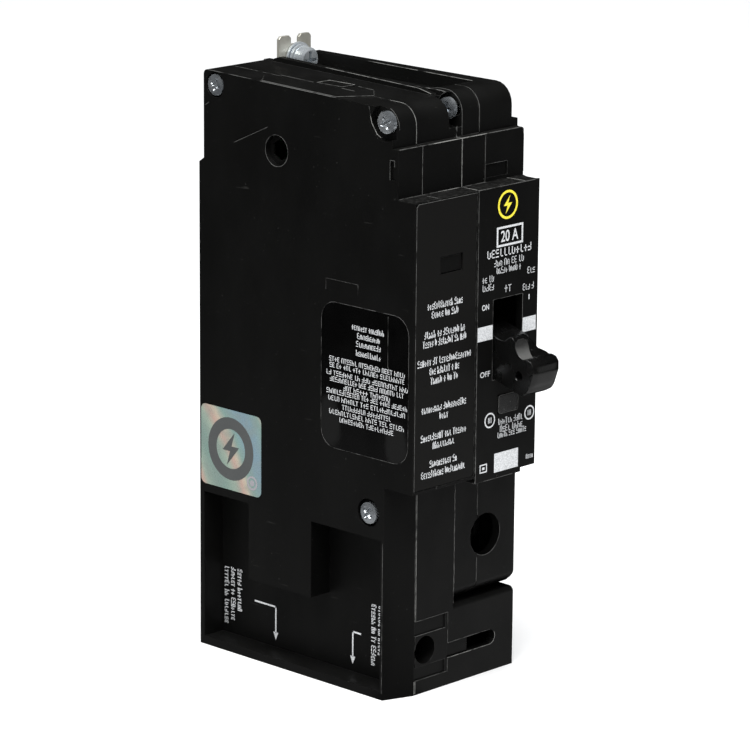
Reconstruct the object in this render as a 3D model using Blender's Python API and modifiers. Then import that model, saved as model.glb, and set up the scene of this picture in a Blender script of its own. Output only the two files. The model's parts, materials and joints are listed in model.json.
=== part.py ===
"""One-pole bolt-on circuit breaker with a ground-fault module beside it.

Run with: blender --background --python part.py

The helpers take millimetres in the device frame and MM turns them into metres: X runs across the
device from the centre seam (the module is at -X, the breaker at +X), Y runs from the lower front face
towards the panel, and Z runs up from the load end to the line end. The empty "device" shifts the whole
device so that its box is centred on the Z axis.
"""

import math

import bmesh
import bpy
from mathutils import Matrix, Vector

MM = 0.001
GAP = 0.3  # clearance between pieces that meet

# Driving dimensions
POLE = 25.4  # one pole space of the panel
DEPTH = 77.2  # lower front face to the back
HANDLE_REACH = 22.08  # the handle's tip stands this far in front of the lower front face when off
CENTRE_Y = (DEPTH - HANDLE_REACH) / 2
LEFT, RIGHT = -POLE, POLE
COVER_SEAM = -15.85  # between the module's cover and case
CASE_SEAM = 9.55  # between the breaker's cover and case
WALL = 2.3

# Front profile, shared by both halves
ESCUTCHEON_Y, SHOULDER_Y, CROWN_Y = -7.5, -1.0, 1.4
ESCUTCHEON_LOW, ESCUTCHEON_HIGH, SHOULDER_HIGH = 62.1, 144.3, 158.0
BREAKER_LIP = 60.4  # underside of the breaker's escutcheon
CROWN_RADIUS = 6.0
BREAKER_TOP = 170.3
MODULE_TOP, MODULE_REAR_TOP = 168.9, 170.8  # the module's top rises a little towards the back
RAIL_TOP = (170.3, 172.1)  # rim of the module along the centre seam, at its front and its rear end
BACK_STEP, BACK_STEP_Z = 1.9, 143.9
FOOT_TOP = 23.4  # the module's foot runs under the breaker
BREAKER_LOW = FOOT_TOP + GAP

# Breaker openings and wells
SLOT_X, SLOT_Z = (6.6, 18.8), (89.3, 112.3)
WELL_FLOOR, WELL_LEFT = 162.2, 2.6
MIDDLE_X = 12.7  # middle of the breaker's pole space
LUG_X, LUG_Z, WIRE_Y = 12.9, 41.7, 17.0
ACCESS_RADIUS, WIRE_RADIUS = 6.2, 6.0

# Handle
HANDLE_PIVOT = (7.3, 100.9)  # Y, Z
HANDLE_OFF_ANGLE = 17.5  # degrees below level
HANDLE_X = (7.2, 18.2)

# Contact arm, drawn closed and opened about its pivot
ARM_PIVOT = (40.0, 108.0)
ARM_OPEN_ANGLE = 30.0
CONTACT_Z = 141.5

# Line tab and its bolt-on screw
TAB_X, TAB_Y, TAB_TOP = (5.2, 18.2), (75.9, 76.9), 176.2
TAB_NOTCH = (10.1, 13.3)
LINE_SCREW = (MIDDLE_X, 169.2)  # X, Z

# Module terminals and access
NEUTRAL_X, NEUTRAL_Z = -11.2, 12.6
LOAD_NEUTRAL_Y, PANEL_NEUTRAL_Y = 21.0, 53.0
NEUTRAL_WIRE_RADIUS, NEUTRAL_HOLE = 3.6, 4.2

# Cover screws on the module's side: (Y, Z) and the radius of the seat
SIDE_SCREWS = {
    "cover_screw_upper_rear": ((70.6, 166.7), 3.6),
    "cover_screw_upper_front": ((4.2, 164.9), 5.3),
    "cover_screw_lower": ((9.3, 53.8), 4.1),
}
BREAKER_SCREW = (3.8, 165.2)
NOTCH_X, NOTCH_RADIUS, NOTCH_LOW = (-2.8, 2.45), 5.1, 161.3  # the open notch around the breaker's screw
RIVETS = {"case_rivet_upper": (68.0, 130.0), "case_rivet_lower": (68.0, 40.0)}
SCREW_HEAD_DEPTH = 1.9
PIN_HOLE = 1.8  # radius of the holes for pins, rivets and screw shanks

LABEL_SEAT_Y, LABEL_SEAT_Z = (ESCUTCHEON_Y - 1, ESCUTCHEON_Y + 0.35), (62.8, 143.9)

TRIP_PIVOT, CRADLE_PIVOT = (38.0, 92.0), (54.0, 104.0)

TEST_BUTTON_X, TEST_BUTTON_Z = (-14.9, -6.3), (123.2, 127.6)
PLUNGER = (-12.5, 38.0)  # X, Y of the trip solenoid's axis
LINK_WINDOW_Y, LINK_WINDOW_Z = (30.2, 36.0), (86.0, 96.0)

COLOURS = {
    "case_plastic": ((0.012, 0.012, 0.013), 0.38, 0.0),
    "handle_plastic": ((0.010, 0.010, 0.011), 0.25, 0.0),
    "label_film": ((0.02, 0.02, 0.021), 0.3, 0.0),
    "hologram_film": ((0.62, 0.68, 0.7), 0.25, 0.6),
    "lens_plastic": ((0.16, 0.16, 0.17), 0.2, 0.0),
    "fibre": ((0.45, 0.36, 0.24), 0.8, 0.0),
    "board": ((0.05, 0.22, 0.1), 0.45, 0.0),
    "component": ((0.03, 0.03, 0.03), 0.4, 0.0),
    "winding": ((0.55, 0.22, 0.08), 0.35, 0.8),
    "copper": ((0.72, 0.36, 0.2), 0.3, 1.0),
    "tinned_copper": ((0.66, 0.64, 0.58), 0.35, 1.0),
    "silver_alloy": ((0.8, 0.79, 0.76), 0.3, 1.0),
    "zinc_steel": ((0.62, 0.66, 0.68), 0.28, 1.0),
    "steel": ((0.45, 0.45, 0.46), 0.4, 1.0),
    "aluminium": ((0.7, 0.71, 0.72), 0.4, 1.0),
}


# ---------------------------------------------------------------- scene and materials
def clear_scene():
    for obj in list(bpy.data.objects):
        bpy.data.objects.remove(obj)


def collection(name):
    made = bpy.data.collections.new(name)
    bpy.context.scene.collection.children.link(made)
    return made


def material(name):
    found = bpy.data.materials.get(name)
    if found:
        return found
    colour, roughness, metallic = COLOURS[name]
    made = bpy.data.materials.new(name)
    made.use_nodes = True
    shader = made.node_tree.nodes["Principled BSDF"]
    shader.inputs["Base Color"].default_value = (*colour, 1.0)
    shader.inputs["Roughness"].default_value = roughness
    shader.inputs["Metallic"].default_value = metallic
    return made


clear_scene()
PARTS = collection("gfci_breaker")
CUTTERS = collection("cutters")
DEVICE = bpy.data.objects.new("device", None)
DEVICE.location = (0, -CENTRE_Y * MM, 0)
PARTS.objects.link(DEVICE)


# ---------------------------------------------------------------- shape helpers
AXES = {
    "X": Matrix(((0, 0, 1), (1, 0, 0), (0, 1, 0))),  # outlines are (Y, Z)
    "Y": Matrix(((1, 0, 0), (0, 0, -1), (0, 1, 0))),  # outlines are (X, Z)
    "Z": Matrix.Identity(3),  # outlines are (X, Y)
}


def place(name, mesh, centre, turn=None):
    obj = bpy.data.objects.new(name, mesh)
    obj.location = Vector(centre) * MM
    if turn:
        obj.rotation_euler = turn.to_euler()
    obj.parent = DEVICE
    PARTS.objects.link(obj)
    return obj


def finish(obj, finish_name, smooth=False):
    obj.data.materials.append(material(finish_name))
    if smooth:
        obj.data.shade_smooth()
        obj.data.set_sharp_from_angle(angle=math.radians(35))
    return obj


def box(name, x, y, z):
    low, high = Vector((x[0], y[0], z[0])), Vector((x[1], y[1], z[1]))
    mesh = bpy.data.meshes.new(name)
    shape = bmesh.new()
    bmesh.ops.create_cube(shape, size=1.0)
    bmesh.ops.scale(shape, vec=(high - low) * MM, verts=shape.verts)
    shape.to_mesh(mesh)
    shape.free()
    return place(name, mesh, (low + high) / 2)


def rod(name, axis, centre, radius, length, sides=24, end_radius=None):
    """A cylinder centred on centre, or a cone whose far end has end_radius."""
    mesh = bpy.data.meshes.new(name)
    shape = bmesh.new()
    bmesh.ops.create_cone(
        shape,
        cap_ends=True,
        segments=sides,
        radius1=radius * MM,
        radius2=(radius if end_radius is None else end_radius) * MM,
        depth=length * MM,
    )
    shape.to_mesh(mesh)
    shape.free()
    return place(name, mesh, centre, AXES[axis])


def turned(name, axis, centre, profile, sides=24):
    """A profile of (radius, height) pairs, from the top of the outer side down, turned round the axis."""
    mesh = bpy.data.meshes.new(name)
    shape = bmesh.new()
    points = [shape.verts.new((radius * MM, 0, height * MM)) for radius, height in profile]
    closed = profile[0][0] > 0 and profile[-1][0] > 0
    for first, second in zip(points, points[1:] + points[:1] if closed else points[1:]):
        shape.edges.new((first, second))
    shape.to_mesh(mesh)
    shape.free()
    obj = place(name, mesh, centre, AXES[axis])
    screw = obj.modifiers.new("turn", "SCREW")
    screw.steps = screw.render_steps = sides
    screw.use_merge_vertices = True
    screw.merge_threshold = 0.00001
    return obj


def evaluated_mesh(obj):
    bpy.context.view_layer.update()
    mesh = bpy.data.meshes.new_from_object(obj.evaluated_get(bpy.context.evaluated_depsgraph_get()))
    shape = bmesh.new()
    shape.from_mesh(mesh)
    bmesh.ops.remove_doubles(shape, verts=shape.verts, dist=0.000001)
    bmesh.ops.recalc_face_normals(shape, faces=shape.faces)
    shape.to_mesh(mesh)
    shape.free()
    return mesh


def prism(name, axis, outline, low, high, pivot=(0, 0), turn=0.0):
    """An outline extruded from low to high along the axis, its origin at pivot, turned about the axis."""
    curve = bpy.data.curves.new(name, "CURVE")
    curve.dimensions = "2D"
    curve.fill_mode = "BOTH"
    curve.extrude = (high - low) / 2 * MM
    spline = curve.splines.new("POLY")
    spline.points.add(len(outline) - 1)
    for point, (u, v) in zip(spline.points, outline):
        point.co = ((u - pivot[0]) * MM, (v - pivot[1]) * MM, 0, 1)
    spline.use_cyclic_u = True
    flat = bpy.data.objects.new(name, curve)
    PARTS.objects.link(flat)
    mesh = evaluated_mesh(flat)
    bpy.data.objects.remove(flat)
    bpy.data.curves.remove(curve)
    middle = AXES[axis] @ Vector((pivot[0], pivot[1], 0))
    middle += AXES[axis] @ Vector((0, 0, 1)) * (low + high) / 2 * (-1 if axis == "Y" else 1)
    return place(name, mesh, middle, AXES[axis] @ Matrix.Rotation(math.radians(turn), 3, "Z"))


def wire(name, points, radius, resolution=2):
    curve = bpy.data.curves.new(name, "CURVE")
    curve.dimensions = "3D"
    curve.bevel_depth = radius * MM
    curve.bevel_resolution = resolution
    curve.use_fill_caps = True
    spline = curve.splines.new("POLY")
    spline.points.add(len(points) - 1)
    for point, place_mm in zip(spline.points, points):
        point.co = (*(Vector(place_mm) * MM), 1)
    tube = bpy.data.objects.new(name, curve)
    PARTS.objects.link(tube)
    mesh = evaluated_mesh(tube)
    bpy.data.objects.remove(tube)
    bpy.data.curves.remove(curve)
    return mesh


def boolean(obj, other, operation):
    CUTTERS.objects.link(other)
    PARTS.objects.unlink(other)
    other.hide_render = True
    other.display_type = "WIRE"
    change = obj.modifiers.new(other.name, "BOOLEAN")
    change.operation = operation
    change.object = other
    return obj


def cut(obj, *others):
    for other in others:
        boolean(obj, other, "DIFFERENCE")
    return obj


def join(obj, *others):
    for other in others:
        boolean(obj, other, "UNION")
    return obj


def around(span, clearance=0.25):
    """A span widened by a clearance at both ends."""
    return span[0] - clearance, span[1] + clearance


def arc(centre, radius, start, end, steps=6):
    """Points on an arc, from start to end degrees."""
    return [
        (
            centre[0] + radius * math.cos(math.radians(start + (end - start) * i / steps)),
            centre[1] + radius * math.sin(math.radians(start + (end - start) * i / steps)),
        )
        for i in range(steps + 1)
    ]


def rounded(u, v, radius, steps=4):
    """A rectangle's outline with round corners."""
    near_u, far_u = u[0] + radius, u[1] - radius
    near_v, far_v = v[0] + radius, v[1] - radius
    outline = []
    for i, corner in enumerate(((far_u, far_v), (near_u, far_v), (near_u, near_v), (far_u, near_v))):
        outline += arc(corner, radius, 90 * i, 90 * i + 90, steps)
    return outline


# ---------------------------------------------------------------- the four shells
def front_outline(top, low=ESCUTCHEON_LOW):
    crown = (CROWN_Y + CROWN_RADIUS, top - CROWN_RADIUS)
    return [
        (0, low),
        (ESCUTCHEON_Y, low),
        (ESCUTCHEON_Y, ESCUTCHEON_HIGH),
        (SHOULDER_Y, ESCUTCHEON_HIGH),
        (SHOULDER_Y, SHOULDER_HIGH),
        (CROWN_Y, SHOULDER_HIGH),
        *arc(crown, CROWN_RADIUS, 180, 90),
    ]


def module_outline():
    return [
        (0, 0),
        *front_outline(MODULE_TOP),
        (DEPTH - BACK_STEP, MODULE_REAR_TOP),
        (DEPTH - BACK_STEP, BACK_STEP_Z + 1.3),
        (DEPTH, BACK_STEP_Z),
        (DEPTH, 0),
    ]


def breaker_outline():
    chin = [
        (5.5, BREAKER_LOW),
        (3.0, BREAKER_LOW + 0.9),
        (1.3, BREAKER_LOW + 2.3),
        (0.3, BREAKER_LOW + 3.6),
        (0, BREAKER_LOW + 4.5),
    ]
    back = [(DEPTH, BREAKER_TOP), (DEPTH, BREAKER_LOW)]
    return [*chin, *front_outline(BREAKER_TOP, BREAKER_LIP), *back]


def cavity_outline(low, top, front_low, rear_corner=9.0):
    """The hollow behind the front profile, with its corners left solid for the screws."""
    back = DEPTH - BACK_STEP - WALL
    return [
        (front_low, low),
        (front_low, ESCUTCHEON_LOW + WALL),
        (ESCUTCHEON_Y + WALL, ESCUTCHEON_LOW + WALL),
        (ESCUTCHEON_Y + WALL, ESCUTCHEON_HIGH - WALL),
        (SHOULDER_Y + WALL, ESCUTCHEON_HIGH - WALL),
        (SHOULDER_Y + WALL + 2, SHOULDER_HIGH - WALL - 2),
        (CROWN_Y + 9.0, SHOULDER_HIGH),
        (CROWN_Y + 9.0, top),
        (back - rear_corner, top),
        (back, top - rear_corner),
        (back, low),
    ]


def screw_seat(name, face_x, inner_x, at, seat_radius):
    """A counterbore for a screw's head and a hole for its shank, in a side face."""
    depth = SCREW_HEAD_DEPTH
    return [
        rod(f"{name}_seat", "X", (face_x + depth / 2 - 0.5, *at), seat_radius, depth + 1),
        rod(f"{name}_hole", "X", ((face_x + inner_x) / 2, *at), PIN_HOLE, inner_x - face_x + 2, sides=12),
    ]


def breaker_screw_notch(owner):
    """The notch across the centre seam that is open to the front and to the top."""
    width = NOTCH_X[1] - NOTCH_X[0]
    middle = sum(NOTCH_X) / 2
    return [
        rod(f"{owner}_notch", "X", (middle, *BREAKER_SCREW), NOTCH_RADIUS, width),
        box(f"{owner}_notch_mouth", NOTCH_X, (-2, BREAKER_SCREW[0]), (NOTCH_LOW, 175)),
    ]


def make_module_cover():
    seam = COVER_SEAM - GAP / 2
    cover = prism("module_cover", "X", module_outline(), LEFT, seam)
    bevel_back, bevel_side = 3.65, -16.3
    bevel = [(LEFT - 1, bevel_back), (bevel_side, 0), (bevel_side, -1), (LEFT - 1, -1)]
    cut(cover, prism("front_bevel", "Z", bevel, -1, ESCUTCHEON_LOW))
    recess_top, recess_low, floor_x = 46.6, 2.5, -17.9
    tongue_y, tongue_low = (31.7, 57.0), 24.0
    recess = [
        (4.4, recess_low),
        (DEPTH - 1.7, recess_low),
        (DEPTH - 1.7, recess_top),
        (tongue_y[1], recess_top),
        (tongue_y[1], tongue_low),
        (tongue_y[0], tongue_low),
        (tongue_y[0], recess_top),
        (4.4, recess_top),
    ]
    cut(cover, prism("side_recess", "X", recess, LEFT - 1, floor_x))
    inner_x = LEFT + WALL
    hollow = cavity_outline(recess_top + WALL, MODULE_TOP - WALL, 14.5)
    tongue_inside = (tongue_y[0] + WALL, tongue_y[1] - WALL)
    cut(
        cover,
        prism("cover_hollow", "X", hollow, inner_x, seam + 1),
        box("tongue_hollow", (inner_x, seam + 1), tongue_inside, (tongue_low + WALL, 60)),
    )
    for name, (at, seat_radius) in SIDE_SCREWS.items():
        cut(cover, *screw_seat(name, LEFT, seam, at, seat_radius))
    port_y, port_z = 45.9, 151.3
    cut(
        cover,
        rod("port_seat", "X", (LEFT, port_y, port_z), 4.45, 3.2),
        rod("port_hole", "X", (LEFT + 2, port_y, port_z), 3.2, 6, sides=6),
        box("finger_slot", (LEFT - 1, LEFT + 0.7), (0.4, 2.1), (149.4, 154.9)),
        prism("label_seat", "X", rounded((-5.7, 28.1), (69.8, 112.0), 5.5), LEFT - 1, LEFT + 0.35),
        prism("sticker_seat", "X", rounded((51.8, 76.9), (48.9, 73.2), 2.0), LEFT - 1, LEFT + 0.3),
        box("test_label_seat_left", (LEFT + 0.5, seam + 1), LABEL_SEAT_Y, LABEL_SEAT_Z),
    )
    return finish(cover, "case_plastic")


def make_module_case():
    low_x, high_x = COVER_SEAM + GAP / 2, -GAP / 2
    case = prism("module_case", "X", module_outline(), low_x, high_x)
    rail_y, foot_round = (9.0, 71.2), 1.5
    rail = [
        (rail_y[0], MODULE_TOP - 1),
        (rail_y[0], MODULE_TOP + 0.4),
        (rail_y[0] + 5.0, RAIL_TOP[0]),
        (rail_y[1] - 2.5, RAIL_TOP[1]),
        (rail_y[1] - 0.6, RAIL_TOP[1] - 0.6),
        (rail_y[1], MODULE_REAR_TOP),
        (rail_y[1], MODULE_TOP - 1),
    ]
    foot = [
        (0, 0),
        *arc((foot_round, FOOT_TOP - foot_round), foot_round, 180, 90, 3),
        (DEPTH, FOOT_TOP),
        (DEPTH, 0),
    ]
    join(
        case,
        prism("centre_rail", "X", rail, high_x - 2.0, high_x),
        prism("foot", "X", foot, high_x - 1.0, RIGHT),
        box("top_plate", (-15.3, -10.2), (30.4, 40.2), (MODULE_TOP, MODULE_TOP + 1.2)),
    )
    hollow = cavity_outline(2.5, MODULE_TOP - WALL, 2.6)
    tongue_slot = [(-3.0, 8.1), *arc((15.5, 10.3), 2.2, -90, 90, 6), (-3.0, 12.5)]
    cut(
        case,
        prism("case_hollow", "X", hollow, low_x - 1, high_x - 2.0),
        box("foot_hollow", (high_x - 2.5, RIGHT - WALL), (2.6, DEPTH - 2.5), (2.3, FOOT_TOP - 2.2)),
        box("insert_window", (low_x - 1, -2.0), (-1, 6.0), (4.0, 21.8)),
        prism("tongue_slot", "Y", tongue_slot, -1, 3.2),
        box("button_window", around(TEST_BUTTON_X), (-9, -4), around(TEST_BUTTON_Z)),
        box("test_label_seat_right", (low_x - 1, -0.6), LABEL_SEAT_Y, LABEL_SEAT_Z),
        box("link_window_module", (-3, 1), LINK_WINDOW_Y, LINK_WINDOW_Z),
        rod("load_wire_way", "Z", (MIDDLE_X, WIRE_Y, 12), WIRE_RADIUS, 30),
        rod("load_neutral_way", "Z", (NEUTRAL_X, LOAD_NEUTRAL_Y, 1), NEUTRAL_HOLE, 6, sides=20),
        rod("panel_neutral_way", "Z", (NEUTRAL_X, PANEL_NEUTRAL_Y, 1), NEUTRAL_HOLE, 6, sides=20),
        rod("panel_neutral_access", "Y", (NEUTRAL_X, DEPTH, NEUTRAL_Z), 4.1, 12, sides=20),
    )
    for name, (at, _) in SIDE_SCREWS.items():
        cut(case, rod(f"{name}_thread", "X", (low_x, *at), PIN_HOLE, 10, sides=12))
    cut(case, *breaker_screw_notch("module"))
    return finish(case, "case_plastic")


def breaker_cuts(owner, thread_x):
    """Openings that the breaker's cover and case share, one set of cutters for each."""
    tab_x = around(TAB_X, 0.5)
    well = [(WELL_LEFT, 11.0), (17.4, 11.0), (20.6, DEPTH + 1), (WELL_LEFT, DEPTH + 1)]
    return [
        box(f"{owner}_tab_slot", tab_x, (DEPTH - 3.5, DEPTH + 1), (156.5, 180)),
        prism(f"{owner}_well", "Z", well, WELL_FLOOR, 180),
        box(f"{owner}_handle_slot", SLOT_X, (-9, -4), SLOT_Z),
        rod(f"{owner}_lug_access", "Y", (LUG_X, 2, LUG_Z), ACCESS_RADIUS, 8, sides=16),
        rod(f"{owner}_wire_way", "Z", (MIDDLE_X, WIRE_Y, BREAKER_LOW), WIRE_RADIUS, 8),
        box(f"{owner}_lens_seat", (9.0, 17.5), (ESCUTCHEON_Y - 1, ESCUTCHEON_Y + 1.2), (78.9, 84.6)),
        box(f"{owner}_shoulder_pad", (9.0, 18.6), (SHOULDER_Y - 1, SHOULDER_Y + 0.4), (145.4, 149.2)),
        rod(f"{owner}_pin_hole", "X", (MIDDLE_X, *HANDLE_PIVOT), PIN_HOLE, 22.4, sides=12),
        rod(f"{owner}_screw_thread", "X", (thread_x, *BREAKER_SCREW), PIN_HOLE, 26, sides=12),
        *[
            rod(f"{owner}_{name}", "X", (MIDDLE_X, *at), PIN_HOLE, 30, sides=12)
            for name, at in RIVETS.items()
        ],
    ]


def breaker_hollow():
    outline = cavity_outline(BREAKER_LOW + 2.4, WELL_FLOOR - WALL, 2.6, 1.0)
    outline[0] = (8.0, BREAKER_LOW + 2.4)
    outline.insert(1, (2.6, BREAKER_LOW + 8.0))
    back = DEPTH - WALL
    return [(back if y > 70 else y, z) for y, z in outline]


def make_breaker_cover():
    low_x, high_x = GAP / 2, CASE_SEAM - GAP / 2
    cover = prism("breaker_cover", "X", breaker_outline(), low_x, high_x)
    cut(cover, prism("breaker_cover_hollow", "X", breaker_hollow(), low_x + 2.15, high_x + 1))
    cut(cover, *breaker_cuts("breaker_cover", 5.0))
    cut(
        cover,
        *breaker_screw_notch("breaker"),
        box("link_window_breaker", (-1, 3), LINK_WINDOW_Y, LINK_WINDOW_Z),
    )
    return finish(cover, "case_plastic")


def make_breaker_case():
    low_x = CASE_SEAM + GAP / 2
    case = prism("breaker_case", "X", breaker_outline(), low_x, RIGHT)
    crown_x, ledge_z = 22.9, 160.2
    notch_x, notch_z = 19.1, 61.6
    cut(case, prism("breaker_case_hollow", "X", breaker_hollow(), low_x - 1, RIGHT - WALL))
    cut(case, *breaker_cuts("breaker_case", 12.0))
    cut(
        case,
        box("crown_side", (crown_x, RIGHT + 1), (-2, DEPTH + 1), (ledge_z, 180)),
        box("lip_notch", (notch_x, RIGHT + 1), (ESCUTCHEON_Y - 1, -0.05), (BREAKER_LIP - 1, notch_z)),
    )
    return finish(case, "case_plastic")


# ---------------------------------------------------------------- pieces on the outside
def make_neutral_insert():
    x, z = (COVER_SEAM + GAP, -2.3), (4.3, 21.5)
    insert = box("neutral_insert", x, (0.1, 5.4), z)
    join(insert, box("insert_tongue", (x[1] - 1, 6.4), (0.5, 2.9), (8.4, 12.2)))
    cut(
        insert,
        rod("insert_hole", "Y", (NEUTRAL_X - 0.3, 2, NEUTRAL_Z), 4.1, 12),
        box("insert_frame_top", (x[0] - 1, x[1] - 0.9), (-1, 0.5), (17.3, 22.0)),
        box("insert_frame_low", (x[0] - 1, x[1] - 0.9), (-1, 0.5), (4.0, 8.0)),
    )
    return finish(insert, "case_plastic")


def label(name, axis, outline, low, high, finish_name):
    return finish(prism(name, axis, outline, low, high), finish_name)


def make_labels():
    label("side_label", "X", rounded((-5.5, 27.9), (70.0, 111.8), 5.3), LEFT, LEFT + 0.25, "label_film")
    sticker = rounded((52.0, 76.7), (49.1, 73.0), 1.8)
    label("hologram_sticker", "X", sticker, LEFT, LEFT + 0.2, "hologram_film")
    plate = rounded((LEFT + 0.7, -0.8), (63.0, 143.7), 1.0)
    test_label = prism("test_label", "Y", plate, ESCUTCHEON_Y, ESCUTCHEON_Y + 0.25)
    cut(test_label, box("test_label_window", around(TEST_BUTTON_X), (-9, -6), around(TEST_BUTTON_Z)))
    finish(test_label, "label_film")
    lens = rounded((9.3, 17.2), (79.2, 84.3), 0.8, 3)
    label("indicator_lens", "Y", lens, ESCUTCHEON_Y - 0.35, ESCUTCHEON_Y + 0.9, "lens_plastic")


def make_side_screw(name, at, face_x, reach):
    """A pan-head screw with a cross recess, its crown flush with the face."""
    head, shank, depth = 3.1, 1.5, SCREW_HEAD_DEPTH
    profile = [
        (0, reach),
        (shank, reach),
        (shank, depth),
        (head, depth),
        (head, 1.1),
        (2.6, 0.5),
        (1.6, 0.12),
        (0, 0),
    ]
    screw = turned(name, "X", (face_x, *at), profile, sides=20)
    (y, z), long, thin = at, 1.7, 0.35
    cross_x = (face_x - 1, face_x + 1.3)
    cut(
        screw,
        box(f"{name}_cross_level", cross_x, (y - long, y + long), (z - thin, z + thin)),
        box(f"{name}_cross_upright", cross_x, (y - thin, y + thin), (z - long, z + long)),
    )
    return finish(screw, "zinc_steel", smooth=True)


def make_rivets():
    for name, at in RIVETS.items():
        rivet = rod(name, "X", (MIDDLE_X + 0.1, *at), 1.4, 24.4, sides=12)
        finish(rivet, "steel", smooth=True)


def make_line_terminal():
    notch_low = 173.6
    tab = [
        (TAB_X[0], 157.2),
        (TAB_X[0], TAB_TOP - 0.8),
        (TAB_X[0] + 0.8, TAB_TOP),
        (TAB_NOTCH[0] - 0.8, TAB_TOP),
        (TAB_NOTCH[0], TAB_TOP - 0.8),
        (TAB_NOTCH[0], notch_low),
        (TAB_NOTCH[1], notch_low),
        (TAB_NOTCH[1], TAB_TOP - 0.8),
        (TAB_NOTCH[1] + 0.8, TAB_TOP),
        (TAB_X[1] - 0.8, TAB_TOP),
        (TAB_X[1], TAB_TOP - 0.8),
        (TAB_X[1], 157.2),
    ]
    terminal = prism("line_terminal", "Y", tab, *TAB_Y)
    join(
        terminal,
        box("line_jog", (7.0, 18.4), (72.0, TAB_Y[1]), (157.0, 158.2)),
        box("line_blade", (8.7, 16.7), (72.0, 73.2), (134.0, 158.0)),
    )
    cut(terminal, rod("line_screw_hole", "Y", (LINE_SCREW[0], 76, LINE_SCREW[1]), 2.6, 6, sides=20))
    return finish(terminal, "tinned_copper")


def make_line_screw():
    x, z = LINE_SCREW
    ring = [(4.9, 0.3), (4.9, -0.3), (2.6, -0.3), (2.6, 0.3)]
    washer = turned("line_washer", "Y", (x, 75.45, z), ring)
    finish(washer, "zinc_steel", smooth=True)
    head = [(0, 4.2), (3.0, 4.2), (3.7, 3.7), (3.9, 1.1), (4.3, 0.9), (4.3, 0)]
    shank = [(2.2, 0), (2.2, -2.1), (0, -2.1)]
    screw = turned("line_screw", "Y", (x, 74.85, z), head + shank)
    cut(
        screw,
        box("line_screw_slot", (x - 0.5, x + 0.5), (68, 72.0), (z - 2.6, z + 2.6)),
        box("line_screw_cross", (x - 2.6, x + 2.6), (68, 72.0), (z - 0.5, z + 0.5)),
    )
    return finish(screw, "zinc_steel", smooth=True)


# ---------------------------------------------------------------- breaker mechanism
def make_handle():
    """Drawn level, as distances out from the pivot and up, then turned down to the off position."""
    neck, back, ridge_right = 6.4, 4.0, 13.0
    nose = [(27.0 + 3.2 * out, -2.6 + 3.8 * up) for out, up in arc((0, 0), 1.0, -70, 0, 5)]
    thumb_rest = arc((25.6, 8.6), 4.6, -90, -165, 5)
    front = [(12.0, -neck), (25.8, -neck), *nose, (30.3, 1.6), (29.6, 3.7), (28.3, 4.6), (26.6, 4.5)]
    lever = [(-back, -5.5), *front, *thumb_rest[:2], (21.4, 3.7), (16.0, 5.4), (-back, 5.5)]
    ridge = [(16.0, 3.0), (25.6, 3.0), *thumb_rest, (20.3, 8.0), (19.2, 8.0), (17.6, 5.8), (16.0, 5.4)]
    y, z = HANDLE_PIVOT

    def turned_prism(name, outline, x):
        shape = [(y - out, z + up) for out, up in reversed(outline)]
        return prism(name, "X", shape, *x, pivot=HANDLE_PIVOT, turn=HANDLE_OFF_ANGLE)

    handle = turned_prism("handle", lever, HANDLE_X)
    middle = sum(HANDLE_X) / 2
    join(
        handle,
        turned_prism("handle_ridge", ridge, (HANDLE_X[0], ridge_right)),
        rod("handle_hub", "X", (middle, y, z), 7.0, HANDLE_X[1] - HANDLE_X[0], sides=32),
    )
    angle, tie_out, tie_up = math.radians(HANDLE_OFF_ANGLE), 25.5, -1.2
    tie = (
        y - tie_out * math.cos(angle) - tie_up * math.sin(angle),
        z - tie_out * math.sin(angle) + tie_up * math.cos(angle),
    )
    cut(
        handle,
        rod("handle_bore", "X", (middle, y, z), PIN_HOLE, 14, sides=16),
        rod("handle_tie_hole", "X", (middle, *tie), 1.35, 14, sides=16),
        box("handle_spring_seat", (10.2, 15.2), (y + 3.0, y + 12), (z - 2.6, z + 2.6)),
    )
    finish(handle, "handle_plastic", smooth=True)
    pin = rod("handle_pin", "X", (MIDDLE_X, y, z), 1.5, 21.8, sides=16)
    finish(pin, "steel", smooth=True)


def coil(radius, start, end, turns, steps):
    """Points along a helix from start to end, whose axis is the line between them."""
    start, end = Vector(start), Vector(end)
    along = end - start
    across = along.orthogonal().normalized()
    other = along.cross(across).normalized()
    points = []
    for i in range(turns * steps + 1):
        angle = math.tau * i / steps
        middle = start + along * i / (turns * steps)
        points.append(middle + (across * math.cos(angle) + other * math.sin(angle)) * radius)
    return points


def make_springs():
    y, z = HANDLE_PIVOT
    helix = coil(1.7, (0, 0, 0), (0, 17.0, 2.0), 9, 10)
    toggle = place("toggle_spring", wire("toggle_spring", helix, 0.42, 1), (MIDDLE_X, y + 8.6, z))
    finish(toggle, "steel", smooth=True)
    helix = coil(3.7, (0, 0, 0.6), (0, 0, 8.2), 4, 12)
    plunger = place("plunger_spring", wire("plunger_spring", helix, 0.4, 1), (*PLUNGER, 93.1))
    finish(plunger, "steel", smooth=True)


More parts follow.
